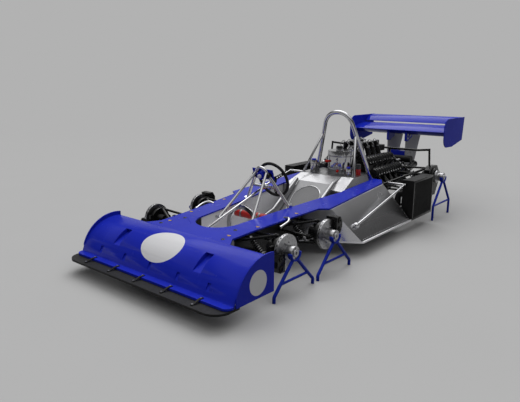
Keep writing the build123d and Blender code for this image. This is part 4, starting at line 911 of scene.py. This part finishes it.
def steering_wheel():
    """Leather rim with stitching, three drilled spokes and a bolted boss."""
    up = Vector((sin(COLUMN_FALL), 0, cos(COLUMN_FALL)))
    axis = Vector((cos(COLUMN_FALL), 0, -sin(COLUMN_FALL)))
    seat = Matrix((*zip((0, 1, 0), up, axis, WHEEL_CENTRE), (0, 0, 0, 1)))
    rim = sweep(circle(WHEEL_RADIUS, 64), RIM_RADIUS, 14, closed=True)
    stitches = []
    for turn in angles(STITCHES):
        spot = polar(WHEEL_RADIUS - RIM_RADIUS, turn)
        slant = Vector((-sin(turn) * 0.0015, cos(turn) * 0.0015, 0.0028))
        stitches.append(sweep([spot - slant, spot + slant], 0.0008, 4))
    spoke = shifted(cut_plate(SPOKE, 0.004, SPOKE_HOLES), 0, 0, 0.002)
    spokes = copies(spoke, [Matrix.Rotation(radians(turn), 4, "Z") for turn in SPOKE_TURNS])
    boss = lathe([(0.034, 0), (0.034, 0.004), (0.030, 0.006), (0.022, 0.016), (0.020, 0.018)], 24)
    front = lathe([(0.030, -0.004), (0.030, 0.0), (0.016, 0.0)], 24)
    places = [polar(BOSS_BOLT_CIRCLE, turn, -0.004) for turn in angles(6)] + [(0, 0, -0.004)]
    bolts = copies(bolt_head(0.0045, 0.004), [facing(place, DOWN) for place in places])
    made = piece("wheel_rim", placed(rim, seat), LEATHER, "steering")
    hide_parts("steering_wheel")
    stitching = placed(merged(*stitches), seat)
    piece("wheel_stitches", stitching, BLACK_PLASTIC, "steering", "black_leather")
    piece("wheel_spokes", placed(spokes, seat), BLACK_METAL, "steering")
    piece("wheel_boss", placed(merged(boss, front), seat), BLACK_METAL, "steering")
    piece("wheel_bolts", placed(bolts, seat), POLISHED, "steering")


PANEL_CENTRE = Vector((0.7757, 0, 0.6038))
PANEL_BACK = Vector((-0.959, 0, 0.284)).normalized()
GAUGE_PROUD = 0.0165  # from the panel's middle to the gauges' faces
SMALL_GAUGE_Y = 0.066
GAUGES = [(0.0, 0.036), (SMALL_GAUGE_Y, 0.024), (-SMALL_GAUGE_Y, 0.024)]
GAUGE_MARKS = [225 - 27 * index for index in range(11)]
NEEDLE_TURN = 140


def dash():
    """Bezels, dials, marks and needles of the gauges, and their cans."""
    up = LEFT.cross(PANEL_BACK)
    bezels, dials, marks, needles = [], [], [], []

    def spoke(degrees, length):
        """Step on a dial from its middle."""
        turn = radians(degrees)
        return (LEFT * cos(turn) - up * sin(turn)) * length

    for y, radius in GAUGES:
        centre = PANEL_CENTRE + LEFT * y + PANEL_BACK * GAUGE_PROUD
        seat = facing(centre, PANEL_BACK)
        ring = lathe([(radius + 0.001, -0.006), (radius + 0.001, 0.003),
                      (radius - 0.002, 0.0045), (radius - 0.004, 0.001)], 28)
        dial = lathe([(radius - 0.0035, 0), (radius - 0.0035, 0.0018)], 28)
        bezels.append(placed(ring, seat))
        dials.append(placed(dial, seat))
        middle = centre + PANEL_BACK * 0.002
        for degrees in GAUGE_MARKS:
            way = spoke(degrees, radius - 0.007)
            marks.append(sweep([middle + way * 0.82, middle + way], 0.0009, 4))
        middle = centre + PANEL_BACK * 0.003
        way = spoke(NEEDLE_TURN, radius - 0.009)
        needles.append(sweep([middle - way * 0.15, middle + way], 0.0011, 4))
    ahead = -PANEL_BACK
    can = lathe([(0.016, -0.01), (0.016, 0.012), (0.013, 0.016), (0.004, 0.017)], 20)
    small = lathe([(0.020, -0.002), (0.020, 0.030), (0.016, 0.034), (0.005, 0.034)], 20)
    spots = [facing(PANEL_CENTRE + LEFT * y, ahead) for y in (SMALL_GAUGE_Y, -SMALL_GAUGE_Y)]
    piece("gauge_bezels", bezels, CHROME)
    piece("gauge_dials", dials, BLACK_PLASTIC)
    piece("gauge_marks", marks, WHITE_PAINT)
    piece("gauge_needles", needles, GOLD)
    piece("gauge_can", placed(can, facing(PANEL_CENTRE + ahead * 0.040, ahead)), WHITE_PAINT)
    piece("gauge_cans_small", copies(small, spots), BLACK_METAL)


SEAT_BACK = (0.150, 0.400)  # stations between which the seat's back is plain
SEAT_ARCH = 0.135  # half width of the seat's inner panel
SEAT_OVERLAP = 0.060  # reach of the panel above that plain back
ARCH_STEPS = 16


def seat_back():
    """Arched inner panel on the seat's back with a rolled bright edge."""
    top, foot = SEAT_BACK
    low, normal = probe("seat", (foot, 0, ABOVE), DOWN)
    high, _ = probe("seat", (top, 0, ABOVE), DOWN)
    up = (high - low).normalized()
    seat = Matrix((*zip((0, 1, 0), up, normal, low), (0, 0, 0, 1)))
    straight = (high - low).length - SEAT_ARCH + SEAT_OVERLAP
    outline = [(-0.8 * SEAT_ARCH, 0), (-SEAT_ARCH, straight)]
    for step in range(1, ARCH_STEPS):
        turn = step * pi / ARCH_STEPS
        outline.append((-SEAT_ARCH * cos(turn), straight + SEAT_ARCH * sin(turn)))
    outline += [(SEAT_ARCH, straight), (0.8 * SEAT_ARCH, 0)]
    panel = shifted(cut_plate(outline, 0.003), 0, 0, 0.0012)
    edge = sweep([(x, y, 0.002) for x, y in outline], 0.006, 8)
    piece("seat_back_panel", placed(panel, seat), DARK_SHEET)
    piece("seat_back_edge", placed(edge, seat), POLISHED)


OIL_TANK = Vector((-0.309, 0.030, 0.480))
OIL_TANK_RADIUS = 0.118
OIL_CAP = (-0.284, 0.030, 0.707)
STRAP_HEIGHTS = (0.045, 0.160)
STRAP_BOLT = Vector((0.8, 0.6, 0))  # direction of the straps' bolts
OIL_UNIONS = [(20, 0.030), (60, 0.030), (-30, 0.110)]  # turn in degrees, height
CANS = [
    ((-0.184, -0.180, 0.590), 0.032),
    ((-0.269, -0.205, 0.560), 0.026),
    ((-0.164, 0.200, 0.550), 0.024),
]
CAN_CAP = [(0.7, -0.001), (0.7, 0.010), (0.6, 0.013), (0.2, 0.013)]  # share of the radius, height
CAN_BAND = 0.030  # from a can's top down to its band


def tank_fittings():
    """Straps, filler cap and unions of the oil tank, caps and bands of the cans."""
    straps, bolts, caps, unions, ends = [], [], [], [], []
    for height in STRAP_HEIGHTS:
        middle = OIL_TANK + UP * height
        straps.append(shifted(band(OIL_TANK_RADIUS, 0.008, 0.0015, 48), *middle))
        bolts.append(facing(middle + STRAP_BOLT * (OIL_TANK_RADIUS - 0.002), STRAP_BOLT))
    for (x, y, z), radius in CANS:
        straps.append(shifted(band(radius, 0.004, 0.001, 24), x, y, z - CAN_BAND))
        cap = [(radius * share, height) for share, height in CAN_CAP]
        caps.append(shifted(lathe(cap, 12), x, y, z))
    for degrees, height in OIL_UNIONS:
        out = polar(1, radians(degrees))
        root = OIL_TANK + UP * height + out * (OIL_TANK_RADIUS - 0.003)
        unions.append(sweep([root, root + out * 0.022], 0.009, 10))
        ends.append(facing(root + out * 0.018, out))
    lug = merged(brick((-0.010, -0.007, 0), (0.010, 0.007, 0.008), 0.001), bolt_head(0.005, 0.016))
    nut = merged(bolt_head(0.013, 0.014), bolt_head(0.010, 0.026))
    filler = lathe([(0.034, -0.002), (0.034, 0.004), (0.030, 0.006), (0.030, 0.016),
                    (0.026, 0.020), (0.008, 0.020)], 14)
    piece("can_straps", straps, STEEL)
    piece("strap_bolts", copies(lug, bolts), POLISHED)
    piece("oil_filler_cap", shifted(filler, *OIL_CAP), BLACK_METAL)
    piece("can_caps", caps, BLUE)
    piece("oil_unions", merged(copies(nut, ends), *unions), RED)


FLUID_CANS = [(1.393, y, 0.236) for y in (-0.11, -0.02, 0.07)]
BOTTLE = Vector((0.916, 0, 0.305))
BOTTLE_RADIUS = 0.030
BOTTLE_BANDS = (-0.09, 0.09)
BOTTLE_HALF = 0.150


def footwell():
    """Fluid cans at the front bulkhead, bands and necks of the bottle."""
    body = [(0.017, 0), (0.020, 0.003), (0.020, 0.048), (0.016, 0.052), (0.016, 0.056)]
    lid = [(0.018, 0.054), (0.018, 0.064), (0.015, 0.067), (0.005, 0.067)]
    neck = [(0.026, -0.006), (0.016, 0.004), (0.013, 0.010), (0.013, 0.022), (0.011, 0.024)]
    spots = [Matrix.Translation(place) for place in FLUID_CANS]
    bands = [facing(BOTTLE + LEFT * y, LEFT) for y in BOTTLE_BANDS]
    necks = [facing(BOTTLE + LEFT * side * BOTTLE_HALF, LEFT * side) for side in (1, -1)]
    piece("fluid_cans", copies(lathe(body, 20), spots), WHITE_PAINT)
    piece("fluid_can_lids", copies(lathe(lid, 20), spots), BLACK_PLASTIC)
    piece("bottle_bands", copies(band(BOTTLE_RADIUS, 0.009, 0.0015, 28), bands), STEEL)
    piece("bottle_necks", copies(lathe(neck, 20), necks), POLISHED)


# Details of the nose and of the rails

STAY_PITCH = 0.262
STAY_BOLTS = (1.938, 2.006)
HOOK = [
    (0.965, 0.352, 0.352), (0.975, 0.395, 0.362), (1.015, 0.425, 0.350), (1.085, 0.420, 0.328),
]


def front_details():
    """Bolts of the splitter's stays, bent chrome tubes under the rails."""
    starts = [(x, (index - 2) * STAY_PITCH, ABOVE) for index in range(5) for x in STAY_BOLTS]
    spots = seated("splitter_stays", starts, DOWN)
    path = curved(HOOK)
    collar = lathe([(0.011, 0), (0.011, 0.012), (0.009, 0.014)], 14)
    collar = placed(collar, facing(path[-1], path[-1] - path[-2]))
    piece("stay_bolts", copies(bolt(0.006, 0.001, 0.0045, 0.005), spots), STEEL)
    piece("rail_hooks", both(sweep(path, 0.009, 12), collar), CHROME)


# Details of the rear

GEARBOX_BACK = -1.644
GEARBOX_SIDE = 0.080
GEARBOX_RIBS, RIB_PITCH = 8, 0.042
RIB_Z = (0.205, 0.425)
COVER_Z = 0.315
COVER_CORNERS = [(0.043, 0.088), (-0.043, 0.088), (-0.043, -0.088), (0.043, -0.088)]
COVER_ROUND = 0.022
CORNER_STEPS = 5
COVER_BOLTS = [(x, y, 0.009) for x in (-0.052, 0.052) for y in (-0.085, -0.030, 0.030, 0.085)]
TAIL_PIPE = Vector((-1.604, 0.185, 0.420))
TAIL_WAY = Vector((-0.350, -0.020, 0.070)).normalized()
# Bolts of the wing's feet: node, stations and heights
WING_BOLTS = [
    ("wing_gussets", [(-1.555, 0.700), (-1.555, 0.740), (-1.620, 0.730)]),
    ("wing_pylons", [(-1.600, 0.470), (-1.690, 0.470), (-1.600, 0.530), (-1.680, 0.530)]),
]


def rear_details():
    """Ribs and end cover of the gearbox, tail pipe lips, bolts of the wing's feet."""
    ribs, outline, bolts = [], [], []
    low, high = RIB_Z
    for index in range(GEARBOX_RIBS):
        x = GEARBOX_BACK + 0.040 + RIB_PITCH * index
        ribs.append(brick((x - 0.003, GEARBOX_SIDE - 0.002, low),
                          (x + 0.003, GEARBOX_SIDE + 0.008, high), 0.002))
    for index, (x, y) in enumerate(COVER_CORNERS):
        for step in range(CORNER_STEPS + 1):
            turn = (index + step / CORNER_STEPS) * pi / 2
            outline.append((x + COVER_ROUND * cos(turn), y + COVER_ROUND * sin(turn)))
    seat = Matrix(((0, 0, -1, GEARBOX_BACK), (1, 0, 0, 0), (0, 1, 0, COVER_Z), (0, 0, 0, 1)))
    cover = shifted(cut_plate(outline, 0.010), 0, 0, 0.004)
    heads = copies(bolt_head(0.0065, 0.006), [Matrix.Translation(place) for place in COVER_BOLTS])
    lip = lathe([(0.036, -0.012), (0.0385, -0.010), (0.0385, 0.012),
                 (0.0355, 0.014), (0.033, 0.011), (0.033, 0.001)], 28)
    for node, places in WING_BOLTS:
        for side in (1, -1):
            bolts += seated(node, [(x, side, z) for x, z in places], (0, -side, 0))
    piece("gearbox_ribs", both(*ribs), CAST_BLACK)
    piece("gearbox_cover", placed(cover, seat), CAST_BLACK)
    piece("gearbox_cover_bolts", placed(heads, seat), STEEL)
    piece("tail_pipe_lips", both(placed(lip, facing(TAIL_PIPE, TAIL_WAY))), BLACK_METAL)
    piece("wing_bolts", copies(bolt(0.010, 0.0015, 0.0075, 0.007, 14), bolts), STEEL)


deck_details()
tub_details()
cam_covers()
injection()
radiator_faces()
dampers()
hub_details()
steering_wheel()
dash()
seat_back()
tank_fittings()
footwell()
front_details()
rear_details()


# Stage

CAMERA_PLACE = Vector((3.700, 2.430, 1.266))  # where the photograph was taken
CAMERA_TARGET = Vector((0.490, -0.272, 0.300))
CAMERA_LENS = 34.77
SENSOR_WIDTH = 36.0
PALE = 0.445  # tone of the floor and of the backdrop
BACKDROP = (PALE,) * 3
FLOOR_TONES = (BACKDROP, (1.01 * PALE,) * 3)
FLOOR_BOUNCE = (0.08,) * 3  # tone of the floor for the light that it throws back up
FLOOR_RADIUS = 60
FLOOR_FADE = (5.0, 12.0)  # distances over which the floor goes over into the backdrop
DOME_STRENGTH = 2.0
# Dome: height of a direction above the horizon, tone there
DOME = [(0.165, PALE), (0.19, 0.08), (0.50, 0.08), (0.75, 0.98), (1.0, 1.04)]
# Pale wall behind the car: the dome with it, its direction, and its edge as a cosine from there
WALL_DOME = [(0.165, PALE), (0.46, PALE), (0.52, 0.08), (0.75, 0.98), (1.0, 1.04)]
WALL_TOWARD = (-0.86, -0.51, 0.0)
WALL_EDGE = (0.75, 0.90)
LAMP_FROM = Vector((-0.50, -0.31, 0.81))
LAMP_ANGLE = 0.90  # radians
LAMP_STRENGTH = 1.36


def pale_rays(tree):
    """One for camera, glossy and transmission rays, none for scattered light."""
    light = added(tree, "LightPath", {}).outputs
    seen = reckon("MAXIMUM", light["Is Camera Ray"], light["Is Glossy Ray"])
    return reckon("MAXIMUM", seen, light["Is Transmission Ray"])


def floor_material():
    """Plain pale floor that fades into the backdrop's tone far out."""
    material, surface, place = shader("floor")
    tree = place.id_data
    tone = ramp(noise(place, 2.0), *FLOOR_TONES)
    feed(surface, {"Base Color": tone, "Roughness": 0.9, "Specular IOR Level": 0.0})
    dim = added(tree, "BsdfDiffuse", {"Color": FLOOR_BOUNCE}).outputs["BSDF"]
    glow = added(tree, "Emission", {"Color": BACKDROP}).outputs["Emission"]
    fade = spread(measure("LENGTH", place), 0, 1, *FLOOR_FADE)
    near = added(tree, "MixShader", {0: pale_rays(tree), 1: dim, 2: surface.outputs["BSDF"]})
    far = added(tree, "MixShader", {0: fade, 1: near.outputs["Shader"], 2: glow})
    feed(tree.nodes["Material Output"], {"Surface": far.outputs["Shader"]})
    return material


def dome_light():
    """Soft studio dome: the backdrop's tone at the horizon, dim above it, a bright ceiling."""
    world = bpy.data.worlds.new("studio")
    world.use_nodes = True
    tree = world.node_tree
    way = added(tree, "TexCoord", {}).outputs["Generated"]
    height = split(way)["Z"]
    wall = spread(measure("DOT_PRODUCT", way, WALL_TOWARD), 0, 1, *WALL_EDGE)
    domes = []
    for levels in (DOME, WALL_DOME):
        stops = [(position, (level / DOME_STRENGTH,) * 3) for position, level in levels]
        domes.append(tones(height, stops))
    colour = blend(wall, *domes)
    feed(tree.nodes["Background"], {"Color": colour, "Strength": DOME_STRENGTH})
    bpy.context.scene.world = world


def aimed(data, way, axis):
    """Lamp or camera in the scene, with one of its axes along a way."""
    made = bpy.data.objects.new(data.name, data)
    made.rotation_mode = "QUATERNION"
    made.rotation_quaternion = way.to_track_quat(axis, "Y")
    bpy.context.scene.collection.objects.link(made)
    return made


def soft_lamp():
    """Wide soft lamp from behind and above."""
    light = bpy.data.lights.new("soft_lamp", "SUN")
    light.energy = LAMP_STRENGTH
    light.angle = LAMP_ANGLE
    aimed(light, LAMP_FROM, "Z")


def photograph_camera():
    """Camera at the photograph's place."""
    lens = bpy.data.cameras.new("camera")
    lens.lens = CAMERA_LENS
    lens.sensor_width = SENSOR_WIDTH
    camera = aimed(lens, CAMERA_TARGET - CAMERA_PLACE, "-Z")
    camera.location = CAMERA_PLACE
    bpy.context.scene.camera = camera


def stage():
    """Floor, dome, lamp and camera."""
    bpy.ops.mesh.primitive_circle_add(vertices=96, radius=FLOOR_RADIUS, fill_type="NGON")
    floor = bpy.context.object
    floor.name = "floor"
    floor.data.materials.append(floor_material())
    dome_light()
    soft_lamp()
    photograph_camera()
    bpy.context.scene.view_settings.view_transform = "Standard"


stage()
